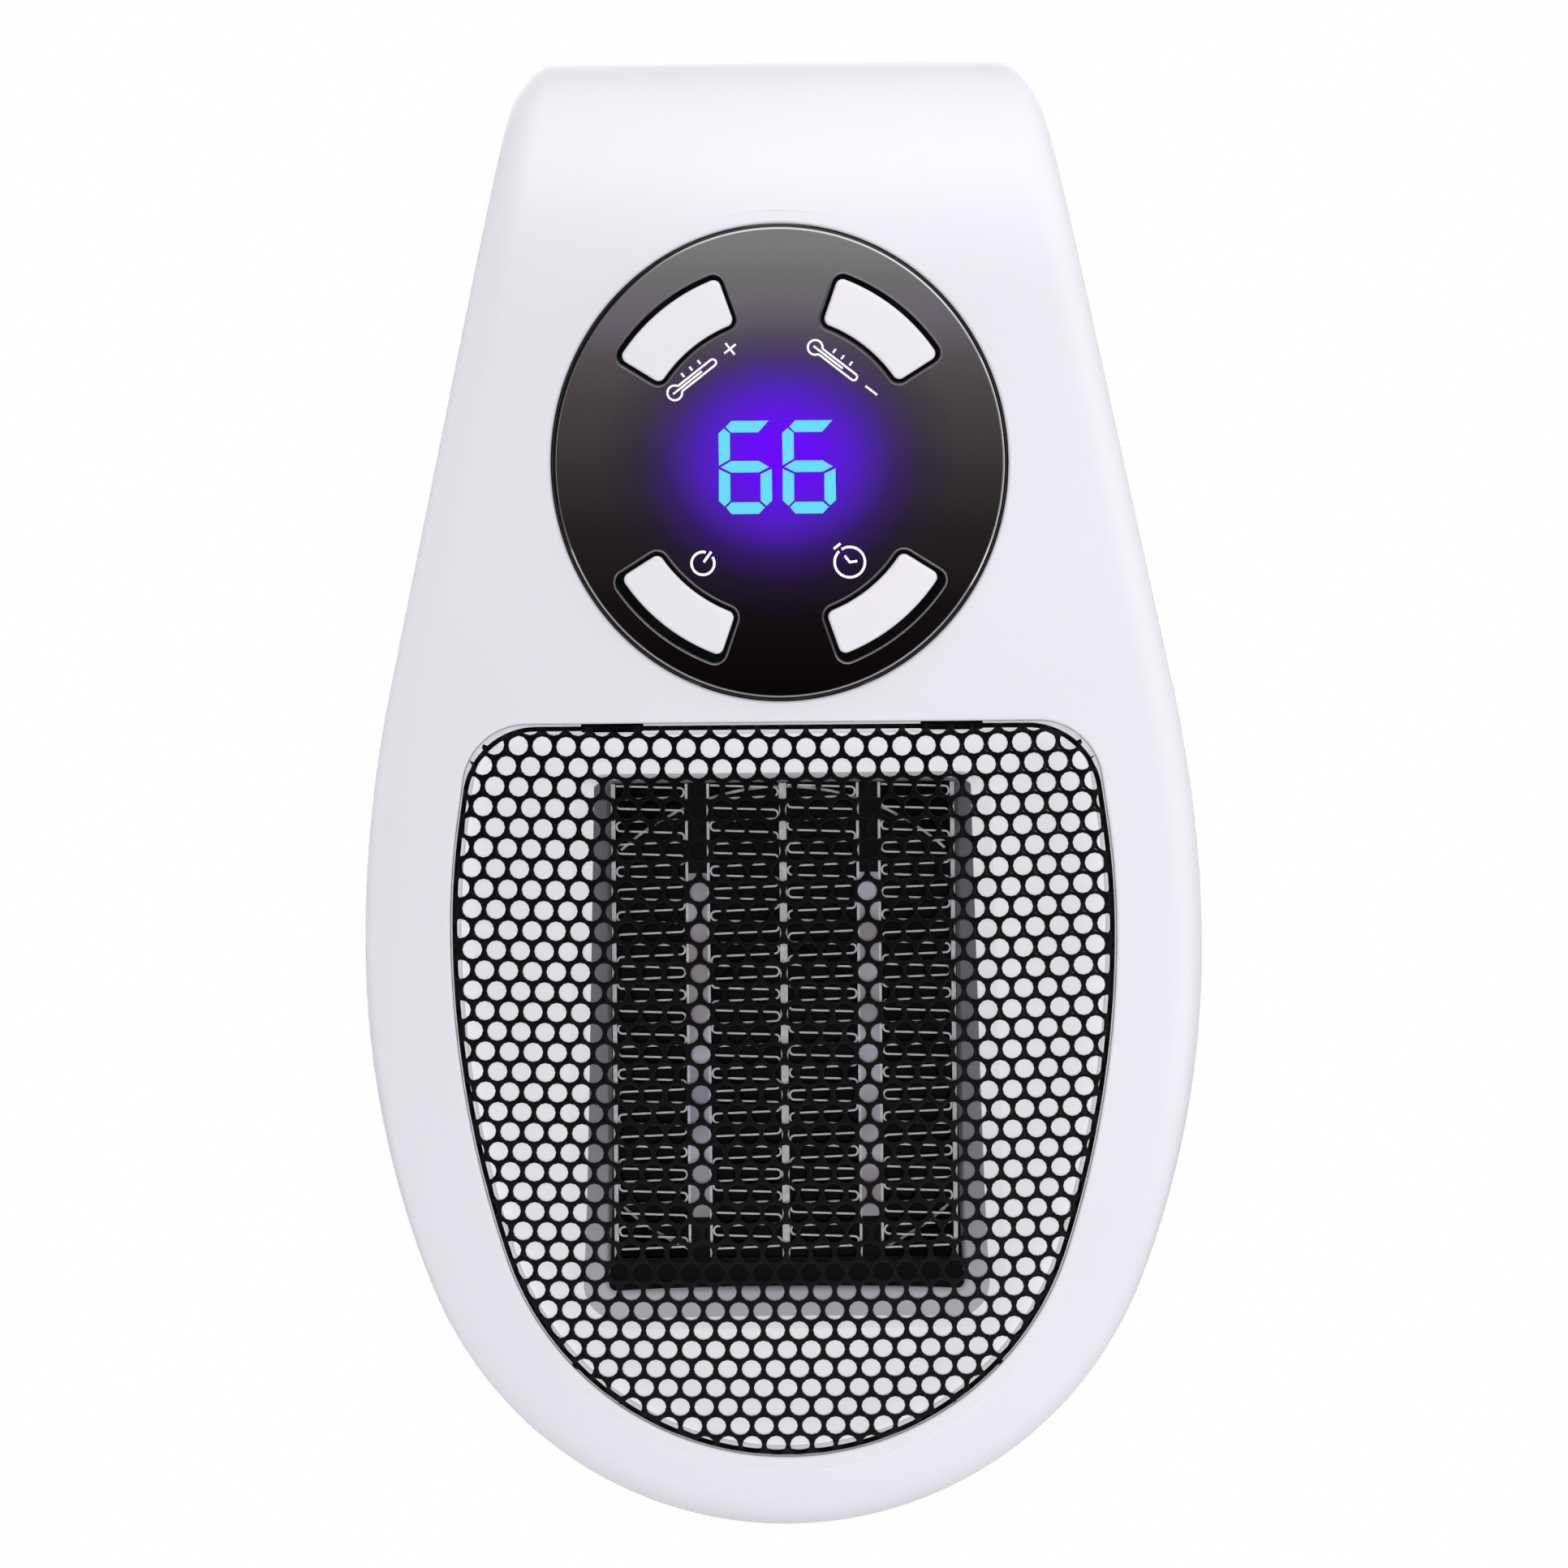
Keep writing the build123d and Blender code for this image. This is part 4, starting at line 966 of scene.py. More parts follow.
def rear_shell_mesh():
    """The wall side, with the plug's seat, the switch's window, screw wells and air slots."""
    form = Form()
    outline = pear_outline(**HOUSING)
    top = PARTING_DEPTH - SEAM_GAP
    foot = REAR_DEPTH + REAR_ROUND
    rows = [(0, foot + share * (top - SEAM_ROUND - foot)) for share in np.linspace(0, 1, 7)[:-1]]
    form.wall(outline, rows + seam_edge(-1, top)[:-1])
    form.wall(outline, quarter(REAR_ROUND, REAR_DEPTH, 9, sink=-1))
    holes = [(oval_outline((0, 0), NECK_HOLE, NECK_HOLE, 120), HOLE_REACH, HOLE_ROUND),
             (box_outline((0, ROCKER_CENTRE), *ROCKER_HOLE, 0.6), HOLE_REACH, 0.2)]
    for step in range(-INTAKE_PAIRS, INTAKE_PAIRS + 1):
        x = step * INTAKE_PITCH
        height = 2 * math.sqrt(INTAKE_RADIUS ** 2 - x ** 2)
        slot = box_outline((x, FAN_CENTRE), INTAKE_SLOT, height, INTAKE_SLOT / 2 - 0.01)
        holes.append((slot, HOLE_REACH, HOLE_ROUND))
    wells = [oval_outline(place, COUNTERBORE, COUNTERBORE, 40) for place in CASE_POSTS]
    holes += [(well, COUNTERBORE_DEPTH, HOLE_ROUND) for well in wells]
    for hole, reach, rounding in holes:
        form.wall(hole, [(0, REAR_DEPTH + reach), (0, REAR_DEPTH + reach / 2)]
                  + quarter(rounding, REAR_DEPTH, 3, grow=1, sink=-1))
    for well in wells:
        form.fill(grown(well, 0), [], REAR_DEPTH + COUNTERBORE_DEPTH, 1.2)
    rings = [grown(hole, rounding) for hole, reach, rounding in holes]
    form.fill(grown(outline, -REAR_ROUND), rings, REAR_DEPTH, 3.0)
    return form.mesh("rear_shell_moulded")


class HEATER_OT_housing(bpy.types.Operator):
    """Make the two moulded shells"""
    bl_idname = "heater.housing"
    bl_label = "Housing"

    def execute(self, context):
        sizes = context.scene.heater_sizes
        front = finish_piece(front_shell_mesh(sizes.opening_round), "housing", "shell",
                             ["front_shell"], 35)
        thicken(front, SHELL_WALL)
        true_normals(front, 0.0)
        rear = finish_piece(rear_shell_mesh(), "housing", "shell", ["rear_shell"], 35)
        thicken(rear, SHELL_WALL)
        return {"FINISHED"}


# Panel, keys, digits and printed signs

# The lens's rim, as places inwards from its edge and down from its face: a low black border, then
# a narrow bevel that catches the light
RIM_PROFILE = [(0, 1.2), (0.02, 0.34), (0.06, 0.25), (0.12, 0.23), (0.26, 0.22), (0.45, 0.05),
               (0.48, 0.012), (0.54, 0)]
# The same for the edge round each key
WELL_PROFILE = [(0, 1.2), (0.01, 0.3), (0.04, 0.25), (0.26, 0.04), (0.3, 0.012), (0.38, 0)]
BORDER_WIDTH = 0.3
# The faces that count as polished bevel: how far they lie below the face and how much they lean
BEVEL_DROP = (0.02, 0.21)
BEVEL_LEAN = (0.3, 0.93)


def lens_mesh(sizes):
    """The smoked panel, with its polished rim and a well for each key."""
    form = Form()
    surface = front_surface(-PANEL_RISE)
    rim = oval_outline((0, PANEL_CENTRE), PANEL_HALF_WIDTH, PANEL_HALF_HEIGHT)
    form.wall(rim, [(0, PANEL_BACK), *[(-growth, lowered(surface, drop)) for growth, drop in RIM_PROFILE]])
    wells = [key_outline(turn, UPPER_SPARE if 0 < turn < 180 else LOWER_SPARE)
             for turn in KEY_TURNS.values()]
    profile = [(sizes.key_gap + growth, lowered(surface, drop)) for growth, drop in WELL_PROFILE]
    for well in wells:
        form.wall(well, [(sizes.key_gap, PANEL_BACK), *profile])
    rings = [grown(well, profile[-1][0]) for well in wells]
    form.fill(grown(rim, -RIM_PROFILE[-1][0]), rings, surface, 1.6)
    form.fill(grown(rim, 0), [grown(well, sizes.key_gap) for well in wells], PANEL_BACK, 4.0)
    return form.mesh("smoked_lens")


def polish_bevels(lens):
    """Give the narrow bevels of the lens's rim and wells their polished finish."""
    mesh = lens.data
    mesh.materials.append(finishes["bevel"])
    for face in mesh.polygons:
        across, back, up = (part / MM for part in face.center)
        below = float(front_at(across, up, -PANEL_RISE)) + back
        if BEVEL_DROP[0] < below < BEVEL_DROP[1] and BEVEL_LEAN[0] < -face.normal.y < BEVEL_LEAN[1]:
            face.material_index = 1


def key_mesh(name, turn, sizes):
    """One key's cap, with a rounded edge."""
    form = Form()
    surface = front_surface(-KEY_RISE)
    outline = key_outline(turn)
    form.wall(outline, [(0, KEY_BACK), (0, lowered(surface, 1.4))] + quarter(sizes.key_round, surface))
    form.fill(grown(outline, -sizes.key_round), [], surface, 1.0)
    form.fill(grown(outline, 0), [], KEY_BACK, 2.0)
    return form.mesh(f"{name}_cap")


def digit_rings(centre):
    """The lit bars of a six, mitred where they meet, with the upper right bar dark."""
    lid = [(-1.57, 5.39), (2.73, 5.39), (1.54, 4.05), (-1.63, 4.05), (-2.23, 4.69)]
    left_top = [(-2.44, 4.52), (-1.75, 3.95), (-1.75, 0.96), (-3.04, 0.24), (-3.07, 3.95)]
    middle = [(-2.83, 0.05), (-1.63, 0.76), (1.54, 0.76), (2.74, 0.05), (1.54, -0.57), (-1.63, -0.57)]
    left_low = [(-3.04, -0.18), (-1.75, -0.78), (-1.75, -3.83), (-2.41, -4.45), (-3.07, -3.83)]
    foot = [(-2.23, -4.61), (-1.63, -4.01), (1.54, -4.01), (2.23, -4.61), (1.54, -5.36), (-1.63, -5.36)]
    right_low = [(-x, z) for x, z in left_low]
    bars = [lid, left_top, middle, left_low, right_low, foot]
    return [np.array([(x + centre[0], z + centre[1]) for x, z in bar]) for bar in bars]


def turned_about(points, centre, angle):
    """Points drawn about zero, turned and moved to their place."""
    across, along = polar((0, 0), 1, angle)
    points = np.asarray(points, float)
    x = centre[0] + points[:, 0] * across - points[:, 1] * along
    z = centre[1] + points[:, 0] * along + points[:, 1] * across
    return np.column_stack([x, z])


def thermometer_strokes(line, plus):
    """A thermometer beside a plus or a minus sign."""
    bulb = arc_points((-3.9, 0), 0.85, 27, 333, 28)
    stem = arc_points((1.7, 0), 0.39, 90, -90, 10)
    strokes = [bulb, [bulb[0], *stem, bulb[-1]], [(-4.15, 0), (0.1, 0)]]
    strokes += [[(x, 0.75), (x, 1.3)] for x in (-1.9, -0.7, 0.5)]
    strokes.append([(3.4, 0), (5.1, 0)])
    if plus:
        gap = line / 2 + 0.01
        strokes += [[(4.25, -0.85), (4.25, -gap)], [(4.25, gap), (4.25, 0.85)]]
    return [stroke(points, line) for points in strokes]


def power_strokes(line):
    return [stroke(arc_points((0, 0), 1.32, 111, 429, 40), line), stroke([(0, 0.15), (0, 1.65)], line)]


def clock_strokes(line):
    """A clock face with two hands and a knob."""
    return [stroke(arc_points((0, 0), 1.75, 96, 444, 48), line),
            stroke([(0, 0.95), (0, 0), (0.75, -0.45)], line),
            stroke([(-0.5, 2.35), (0.5, 2.35)], line)]


class HEATER_OT_panel(bpy.types.Operator):
    """Make the smoked lens, the four keys, the lit digits and the printed signs"""
    bl_idname = "heater.panel"
    bl_label = "Panel and keys"

    def execute(self, context):
        sizes = context.scene.heater_sizes
        lens = finish_piece(lens_mesh(sizes), "housing", "lens", ["control_panel"], 30)
        true_normals(lens, -PANEL_RISE)
        polish_bevels(lens)
        for node, turn in KEY_TURNS.items():
            body = node.replace("button_", "") + "_key"
            key = finish_piece(key_mesh(node, turn, sizes), body, "key", [node], 30)
            true_normals(key, -KEY_RISE)
        surface = front_surface(-PANEL_RISE)
        bars = [ring for side in (-1, 1)
                for ring in digit_rings((DIGIT_MIDDLE[0] + side * DIGIT_SPREAD, DIGIT_MIDDLE[1]))]
        finish_piece(placed_bars("lit_digits", bars, surface, 0.03), "housing", "digit",
                     ["digit_segments"], 30)
        signs = {
            "sign_warmer": (thermometer_strokes(0.25, True), (-8.95, -5.5), 38),
            "sign_cooler": (thermometer_strokes(0.25, False), (7.3, -5.2), -38),
            "sign_power": (power_strokes(0.3), (-8.94, -27.6), -36),
            "sign_timer": (clock_strokes(0.3), (8.0, -27.6), 38),
        }
        for name, (strokes, place, turn) in signs.items():
            rings = [turned_about(ring, place, turn) for ring in strokes]
            finish_piece(placed_bars(name, rings, surface, 0.02), "housing", "ink", (), 30)
        return {"FINISHED"}


# Grille

BEND_RADIUS = 1.1
SKIRT_HOLES = 2.6
PLAIN_EDGE = 1.2
FIELD_HEIGHT = 105.0
FIELD_COLUMNS = 18
ROW_SAG = 0.85
HOLE_EDGE = (0.09, 0.08)
FIRST_ROW_DROP = 2.7
TAB_PLACE = (19.6, -45.9)
TAB_SIZE = (7.2, 2.2)
TAB_INSETS = (2.4, 3.3)
GRILLE_REACH = BEND_RADIUS * math.pi / 2


class FoldedSheet:
    """Maps a flat pattern onto the dome, bent down along the grille's outline."""

    def __init__(self):
        self.outline = pear_outline(**GRILLE)
        self.bend = grown(self.outline, -BEND_RADIUS)
        self.flat_bend = unrolled(self.bend)
        self.tree = place_tree(self.flat_bend)

    def overhang(self, x, z):
        """How far a flat place lies beyond the bend line, with the bend's place and direction there."""
        index = self.tree.find((x, z, 0))[1]
        best = None
        for near in (index - 1, index):
            far = (near + 1) % len(self.flat_bend)
            start = self.flat_bend[near]
            span = self.flat_bend[far] - start
            share = np.clip(((np.array((x, z)) - start) @ span) / (span @ span), 0, 1)
            foot = start + share * span
            distance = math.dist(foot, (x, z))
            if best is None or distance < best[0]:
                normal = self.outline[near, 2:] * (1 - share) + self.outline[far, 2:] * share
                place = self.bend[near] * (1 - share) + self.bend[far] * share
                sign = 1 if (np.array((x, z)) - foot) @ normal > 0 else -1
                best = (distance, sign * distance, place, normal / np.linalg.norm(normal))
        return best[1:]

    def place(self, x, z):
        """Across, up and depth of a flat place on the sheet's outer face."""
        beyond, foot, normal = self.overhang(x, z)
        if beyond <= 0:
            height = rolled([(x, z)])[0, 1]
            return (x, float(height), float(front_at(x, height, GRILLE_INSET)))
        turn = min(beyond / BEND_RADIUS, math.pi / 2)
        out = foot + BEND_RADIUS * math.sin(turn) * normal
        drop_by = BEND_RADIUS * (1 - math.cos(turn)) + max(beyond - GRILLE_REACH, 0)
        return (out[0], out[1], float(front_at(*foot, GRILLE_INSET)) - drop_by)


def hole_tile(pitch, width):
    """One hexagon of flat sheet with a round hole, in metres."""
    count = 12
    corners = [pitch / math.sqrt(3), pitch / 2] * (count // 2)
    rings = [([width / 2] * count, -HOLE_EDGE[1]), ([width / 2 + HOLE_EDGE[0]] * count, 0), (corners, 0)]
    points = [(*polar((0, 0), reach * MM, 30 * step + 30), depth * MM)
              for reaches, depth in rings for step, reach in enumerate(reaches)]
    faces = [(step + inner, step + inner + count, (step + 1) % count + inner + count,
              (step + 1) % count + inner) for inner in (0, count) for step in range(count)]
    mesh = bpy.data.meshes.new("hole_tile")
    mesh.from_pydata(points, [], faces)
    return mesh


def tile_places(folded, pitch):
    """Centres of all the holes that the folded sheet can carry, in staggered rows."""
    places = []
    row_pitch = pitch * math.sqrt(3) / 2
    top = unrolled([(0, GRILLE["top"])])[0, 1] - FIRST_ROW_DROP + 2 * row_pitch
    for row in range(math.ceil(FIELD_HEIGHT / row_pitch)):
        for column in range(-FIELD_COLUMNS, FIELD_COLUMNS + 1):
            x = (column + (row % 2) / 2) * pitch
            z = top - row * row_pitch + ROW_SAG * (x / GRILLE["half_width"]) ** 2
            if folded.overhang(x, z)[0] < GRILLE_REACH + SKIRT_HOLES - 0.5 * pitch:
                places.append((x, z))
    return places


def boundary_loops(mesh):
    """The closed loops of a flat mesh's open edges, as lists of places in millimetres."""
    shape = bmesh.new()
    shape.from_mesh(mesh)
    open_edges = dict.fromkeys(edge for edge in shape.edges if edge.is_boundary)
    loops = []
    while open_edges:
        edge = next(iter(open_edges))
        del open_edges[edge]
        start, here = edge.verts
        loop = [start, here]
        while here != start:
            edge = next(other for other in here.link_edges if other in open_edges)
            del open_edges[edge]
            here = edge.other_vert(here)
            loop.append(here)
        loops.append(np.array([(vert.co.x / MM, vert.co.y / MM) for vert in loop[:-1]]))
    shape.free()
    return loops


def grille_mesh(sizes):
    """The perforated sheet: tiled holes, a plain edge outside them, all folded over the tray."""
    folded = FoldedSheet()
    places = [(x * MM, z * MM, 0) for x, z in tile_places(folded, sizes.hole_pitch)]
    tile = new_object("hole_tile", hole_tile(sizes.hole_pitch, sizes.hole_width))
    field = made_by(copies_tree("perforated_sheet"), {
        "Copied": tile, "Merge": 0.06 * MM, "Finish": finishes["grille"]},
        points_mesh("holes", places), "perforation")
    drop(tile)
    form = Form()
    for vert in field.vertices:
        x, z, depth = folded.place(vert.co.x / MM, vert.co.y / MM)
        form.points.append((x, z, depth + vert.co.z / MM))
    form.faces += [tuple(face.vertices) for face in field.polygons]
    edge = folded.flat_bend + (GRILLE_REACH + SKIRT_HOLES + PLAIN_EDGE) * folded.outline[:, 2:]
    plain, triangles = triangulated(edge, [max(boundary_loops(field), key=len)], 0.9)
    bpy.data.meshes.remove(field)
    start = len(form.points)
    form.points += [folded.place(x, z) for x, z in plain]
    form.faces += [tuple(start + index for index in triangle) for triangle in triangles]
    skirt = np.array([folded.place(x, z) for x, z in edge])
    form.strip(form.ring(skirt[:, :2], skirt[:, 2]), form.ring(skirt[:, :2], front_surface(TRAY_BED - 0.05)))
    return form.mesh("perforated_sheet", 0.01)


class HEATER_OT_grille(bpy.types.Operator):
    """Make the perforated steel grille and its two tabs"""
    bl_idname = "heater.grille"
    bl_label = "Grille"

    def execute(self, context):
        mesh = grille_mesh(context.scene.heater_sizes)
        sheet = finish_piece(mesh, "housing", "grille", ["grille_mesh"], 40)
        thicken(sheet, GRILLE_SHEET - 0.05)
        form = Form()
        face, back = (front_surface(inset) for inset in TAB_INSETS)
        for side in (-1, 1):
            tab = box_outline((side * TAB_PLACE[0], TAB_PLACE[1]), *TAB_SIZE, 0.3)
            form.wall(tab, [(0, back), (0, lowered(face, 0.1)), (-0.1, face)])
            form.fill(grown(tab, -0.1), [], face, 1.0)
            form.fill(grown(tab, 0), [], back, 1.0)
        finish_piece(form.mesh("grille_tabs"), "housing", "grille", (), 30)
        return {"FINISHED"}


# Tray and throat


def spread(rows, side, top, bottom):
    """How far each row of an outline moves out, sideways and up or down."""
    upright = np.where(rows[:, 3] > 0, top, bottom)
    return np.column_stack([side * rows[:, 2], upright * rows[:, 3]])


def tray_mesh():
    """The pale tray behind the grille: its rim, its domed bed and the flared throat."""
    form = Form()
    bed = front_surface(TRAY_BED)
    pear = opening_outline()
    form.wall(pear, [(-TRAY_PLAY, front_surface(3.0)), (-TRAY_PLAY, front_surface(4.5))]
              + quarter(TRAY_COVE, bed, 6, sink=-1, start=-TRAY_PLAY))
    height = THROAT_TOP - THROAT_BOTTOM
    throat = box_outline((0, (THROAT_TOP + THROAT_BOTTOM) / 2), 2 * THROAT_HALF_WIDTH, height, THROAT_CORNER)
    way_down = (THROAT_TOP - throat[:, 1]) / height
    side = FLARE["side_top"] + way_down * (FLARE["side_bottom"] - FLARE["side_top"])
    lip = throat[:, :2] + spread(throat, side, FLARE["top"], FLARE["bottom"])
    lip_depth = bed(*lip.T) - LIP["depth"]
    throat_floor = HEATER_FRONT + 0.02
    rings = [form.ring(throat[:, :2] + share * (lip - throat[:, :2]),
                       throat_floor + share * (lip_depth - throat_floor)) for share in np.linspace(0, 1, 5)]
    outer = lip + spread(throat, LIP["side"], LIP["top"], LIP["bottom"])
    form.strip(*rings, form.ring(outer, bed))
    form.fill(grown(pear, -TRAY_PLAY - TRAY_COVE), [outer], bed, 1.9)
    return form.mesh("outlet_tray")


class HEATER_OT_tray(bpy.types.Operator):
    """Make the pale tray and throat behind the grille"""
    bl_idname = "heater.tray"
    bl_label = "Tray and throat"

    def execute(self, context):
        tray = finish_piece(tray_mesh(), "housing", "tray", ["outlet_duct"], 25)
        # Faces deeper than the lip take the greyer plastic: painted shade on the throat's walls
        tray.data.materials.append(finishes["liner"])
        for face in tray.data.polygons:
            across, back, up = (part / MM for part in face.center)
            if float(front_at(across, up, TRAY_BED)) + back > LIP["depth"]:
                face.material_index = 1
        thicken(tray, TRAY_WALL)
        true_normals(tray, TRAY_BED)
        return {"FINISHED"}


# Heater core


class HEATER_OT_core(bpy.types.Operator):
    """Make the four folded fin strips between the core's plates"""
    bl_idname = "heater.core"
    bl_label = "Heater core"

    def execute(self, context):
        gauge = context.scene.heater_sizes.fin_gauge
        tree = ribbon_tree()
        pitch = (CORE_HEIGHT - gauge) / FIN_PASSES
        reach = FIN_WIDTH / 2 - gauge / 2 - FIN_PLAY
        middle_depth = CORE_FRONT - CORE_LENGTH / 2
        for number in range(1, 5):
            low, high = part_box(f"fin_pack_{number}")
            centre = (low[0] + high[0]) / 2 / MM
            points = []
            for step in range(FIN_PASSES):
                side = reach if step % 2 else -reach
                z = CORE_TOP - gauge - step * pitch
                points += [(centre + side, z), (centre - side, z - FIN_SLOPE * pitch)]
            mesh = bpy.data.meshes.new("fin_path")
            edges = [(index, index + 1) for index in range(len(points) - 1)]
            mesh.from_pydata([(x * MM, -middle_depth * MM, z * MM) for x, z in points], edges, [])
            made = made_by(tree, {"Turn": FIN_TURN * MM, "Depth": (CORE_LENGTH - 0.1) * MM,
                                  "Gauge": gauge * MM, "Finish": finishes["fins"]},
                           mesh, f"fin_strip_{number}")
            finish_piece(made, "housing", "fins", [f"fin_pack_{number}"], 30)
        return {"FINISHED"}


# Plug, switch, fan frame, motor and board parts: the frame's own shapes with moulded edges

MOULDED = {
    "plug_base": ("plug", "black_pp", "shell", 0.5),
    "live_pin": ("plug", "nickel_brass", "nickel", 0.5),
    "neutral_pin": ("plug", "nickel_brass", "nickel", 0.5),
    "swivel_retainer": ("plug", "black_pp", "black", 0.3),
    "rocker_switch_body": ("housing", "black_pp", "black", 0.25),
    "rocker": ("main_rocker", "black_pp", "black", 0.25),
    "fan_frame": ("housing", "black_pp", "dark", 0.4),
    "motor_can": ("housing", "steel_can", "steel", 0.5),
    "filter_capacitor": ("housing", "grey_pp", "grey", 0.5),
    "power_relay": ("housing", "black_pps", "dark", 0.4),
    "terminal_block": ("housing", "green_pa", "green", 0.4),
    "thermal_cutout": ("housing", "steel_can", "steel", 0.4),
}


class HEATER_OT_moulded(bpy.types.Operator):
    """Round the edges of the plug, switch, fan frame, motor and board parts"""
    bl_idname = "heater.moulded"
    bl_label = "Moulded inner and rear parts"

    def execute(self, context):
        for node, (body, slot, finish, bevel) in MOULDED.items():
            finish_piece(softened(node, bevel), body, finish, [node], 35)
        return {"FINISHED"}


# Fan wheel


def turned_copies_tree():
    """Sets copies of a mesh round an axis along Y through a centre, evenly turned."""
    tree, given = new_tree("turned_copies", Count="Int", Turn="Float", Centre="Vector")
    places = add_node(tree, "GeometryNodeMeshLine", {
        "Count": given.outputs["Count"], "Start Location": given.outputs["Centre"], "Offset": (0, 0, 0)})
    number = add_node(tree, "GeometryNodeInputIndex")
    angle = add_node(tree, "ShaderNodeMath", {0: number, 1: given.outputs["Turn"]}, operation="MULTIPLY")
    turn = add_node(tree, "ShaderNodeCombineXYZ", {"Y": angle})
    copies = add_node(tree, "GeometryNodeInstanceOnPoints", {
        "Points": places, "Instance": given, "Rotation": turn})
    return end_tree(tree, given, copies)


def blade_mesh(front, back, tip):
    """One twisted blade about the wheel's axis, steep at the hub and flat at its round-cornered tip."""
    form = Form()
    rows = []
    for share in np.linspace(0, 1, 9):
        radius = HUB_RADIUS - 0.5 + share * (tip - HUB_RADIUS + 0.5)
        rounding = TIP_ROUND * max(0.0, share - TIP_START) / (1 - TIP_START)
        turns = np.linspace(rounding, BLADE_SPAN - rounding, 13)
        middle = front - (front - back) * (BLADE_MARGIN + (1 - 2 * BLADE_MARGIN) * turns / BLADE_SPAN)
        wall = BLADE_WALL / 2 * np.sqrt(np.sin(np.linspace(0.02, 0.98, 13) * math.pi))
        places = [polar((0, 0), radius, turn) for turn in turns]
        rows.append(form.ring(places + places[::-1], [*(middle + wall), *(middle - wall)[::-1]]))
    form.strip(*rows)
    for row in (rows[0], rows[-1]):
        form.faces += [(row[index], row[index + 1], row[-index - 2], row[-index - 1])
                       for index in range(12)]
    return form.mesh("fan_blade")


def hub_mesh(front, back):
    """The wheel's hub cup, its front edge well rounded."""
    form = Form()
    circle = oval_outline((0, FAN_CENTRE), HUB_RADIUS, HUB_RADIUS, 64)
    floor = front - HUB_WALL
    form.wall(circle, [(-HUB_WALL, floor), (-HUB_WALL, back), (0, back)] + quarter(HUB_ROUND, front, 3))
    form.fill(grown(circle, -HUB_ROUND), [], front, 2.0)
    form.fill(grown(circle, -HUB_WALL), [], floor, 2.0)
    return form.mesh("fan_hub")


class HEATER_OT_fan(bpy.types.Operator):
    """Make the fan's wheel with its overlapping twisted blades"""
    bl_idname = "heater.fan"
    bl_label = "Fan wheel"

    def execute(self, context):
        low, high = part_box("fan_impeller")
        front, back, tip = -low[1] / MM, -high[1] / MM, high[0] / MM + TIP_SPARE
        blades = made_by(turned_copies_tree(), {
            "Count": FAN_BLADES, "Turn": 2 * math.pi / FAN_BLADES,
            "Centre": (0, 0, FAN_CENTRE * MM), "Finish": finishes["black"]},
            blade_mesh(front, back, tip), "fan_blades")
        for mesh in (blades, hub_mesh(front, back)):
            finish_piece(mesh, "fan", "black", ["fan_impeller"], 35)
        return {"FINISHED"}


# Case screws


def screw_mesh():
    """A pan-head screw with a cross recess, its head's top at zero and facing the wall."""
    form = Form()
    head = oval_outline((0, 0), SCREW_RADIUS, SCREW_RADIUS, 32)
    form.wall(head, SCREW_PROFILE)
    cross = np.array([polar((0, 0), math.hypot(x, z), math.degrees(math.atan2(z, x)) + turn)
                      for turn in (0, 90, 180, 270) for x, z in CROSS_QUARTER])
    form.fill(grown(head, SCREW_PROFILE[-1][0]), [cross], 0.0, 0.6)
    form.strip(form.ring(cross * CROSS_TAPER, CROSS_DEPTH), form.ring(cross, 0.0))
    form.fill(cross * CROSS_TAPER, [], CROSS_DEPTH, 0.6)
    form.fill(grown(head, 0), [], SCREW_PROFILE[0][1], 1.2)
    return form.mesh("case_screw")


class HEATER_OT_screws(bpy.types.Operator):
    """Set a screw in each of the rear shell's wells"""
    bl_idname = "heater.screws"
    bl_label = "Case screws"

    def execute(self, context):
        floor = (REAR_DEPTH + COUNTERBORE_DEPTH - SCREW_HEIGHT) * MM
        places = [(x * MM, -floor, z * MM) for x, z in CASE_POSTS]
        screw = new_object("case_screw", screw_mesh())
        made = made_by(copies_tree("case_screws"), {
            "Copied": screw, "Merge": 0.001 * MM, "Finish": finishes["steel"]},
            points_mesh("screw_places", places), "case_screws")
        drop(screw)
        finish_piece(made, "housing", "steel", (), 35)
        return {"FINISHED"}


# Finishes of the frame's own nodes

KEPT_NODES = {
    "heater_frame": "dark", "radiator_plates": "fins", "ptc_bar_left": "film",
    "ptc_bar_right": "film", "ptc_insulators": "dark", "heater_terminals": "nickel",
    "motor_shaft": "steel", "control_board": "dark_board", "power_board": "board",
    "tact_switches": "black", "display_module": "black", "plunger_warmer": "black",
    "plunger_cooler": "black", "plunger_power": "black", "plunger_timer": "black",
}


class HEATER_OT_kept_nodes(bpy.types.Operator):
    """Give the frame's own nodes their finishes"""
    bl_idname = "heater.kept_nodes"
    bl_label = "Inner parts"

    def execute(self, context):
        for node, finish in KEPT_NODES.items():
            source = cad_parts[node]
            for material_slot in source.material_slots:
                material_slot.material = finishes[finish]
        return {"FINISHED"}


# Stage

CAMERA_DISTANCE = 5.0
FRAMING_DEPTH = 75.0
PHOTO_SIDE_PX = 1932
PHOTO_SCALE_MM = 0.09387
PHOTO_CENTRE_PX = (965.5, 966.0)
PHOTO_ORIGIN_PX = (963.5, 400.0)
PHOTO_ROLL_DEG = 0.5

# Radiance of the studio's overhead bank as polished surfaces mirror it
MIRROR_BAND = 2.2

LAMP_TARGET = (0, -0.05, -0.05)
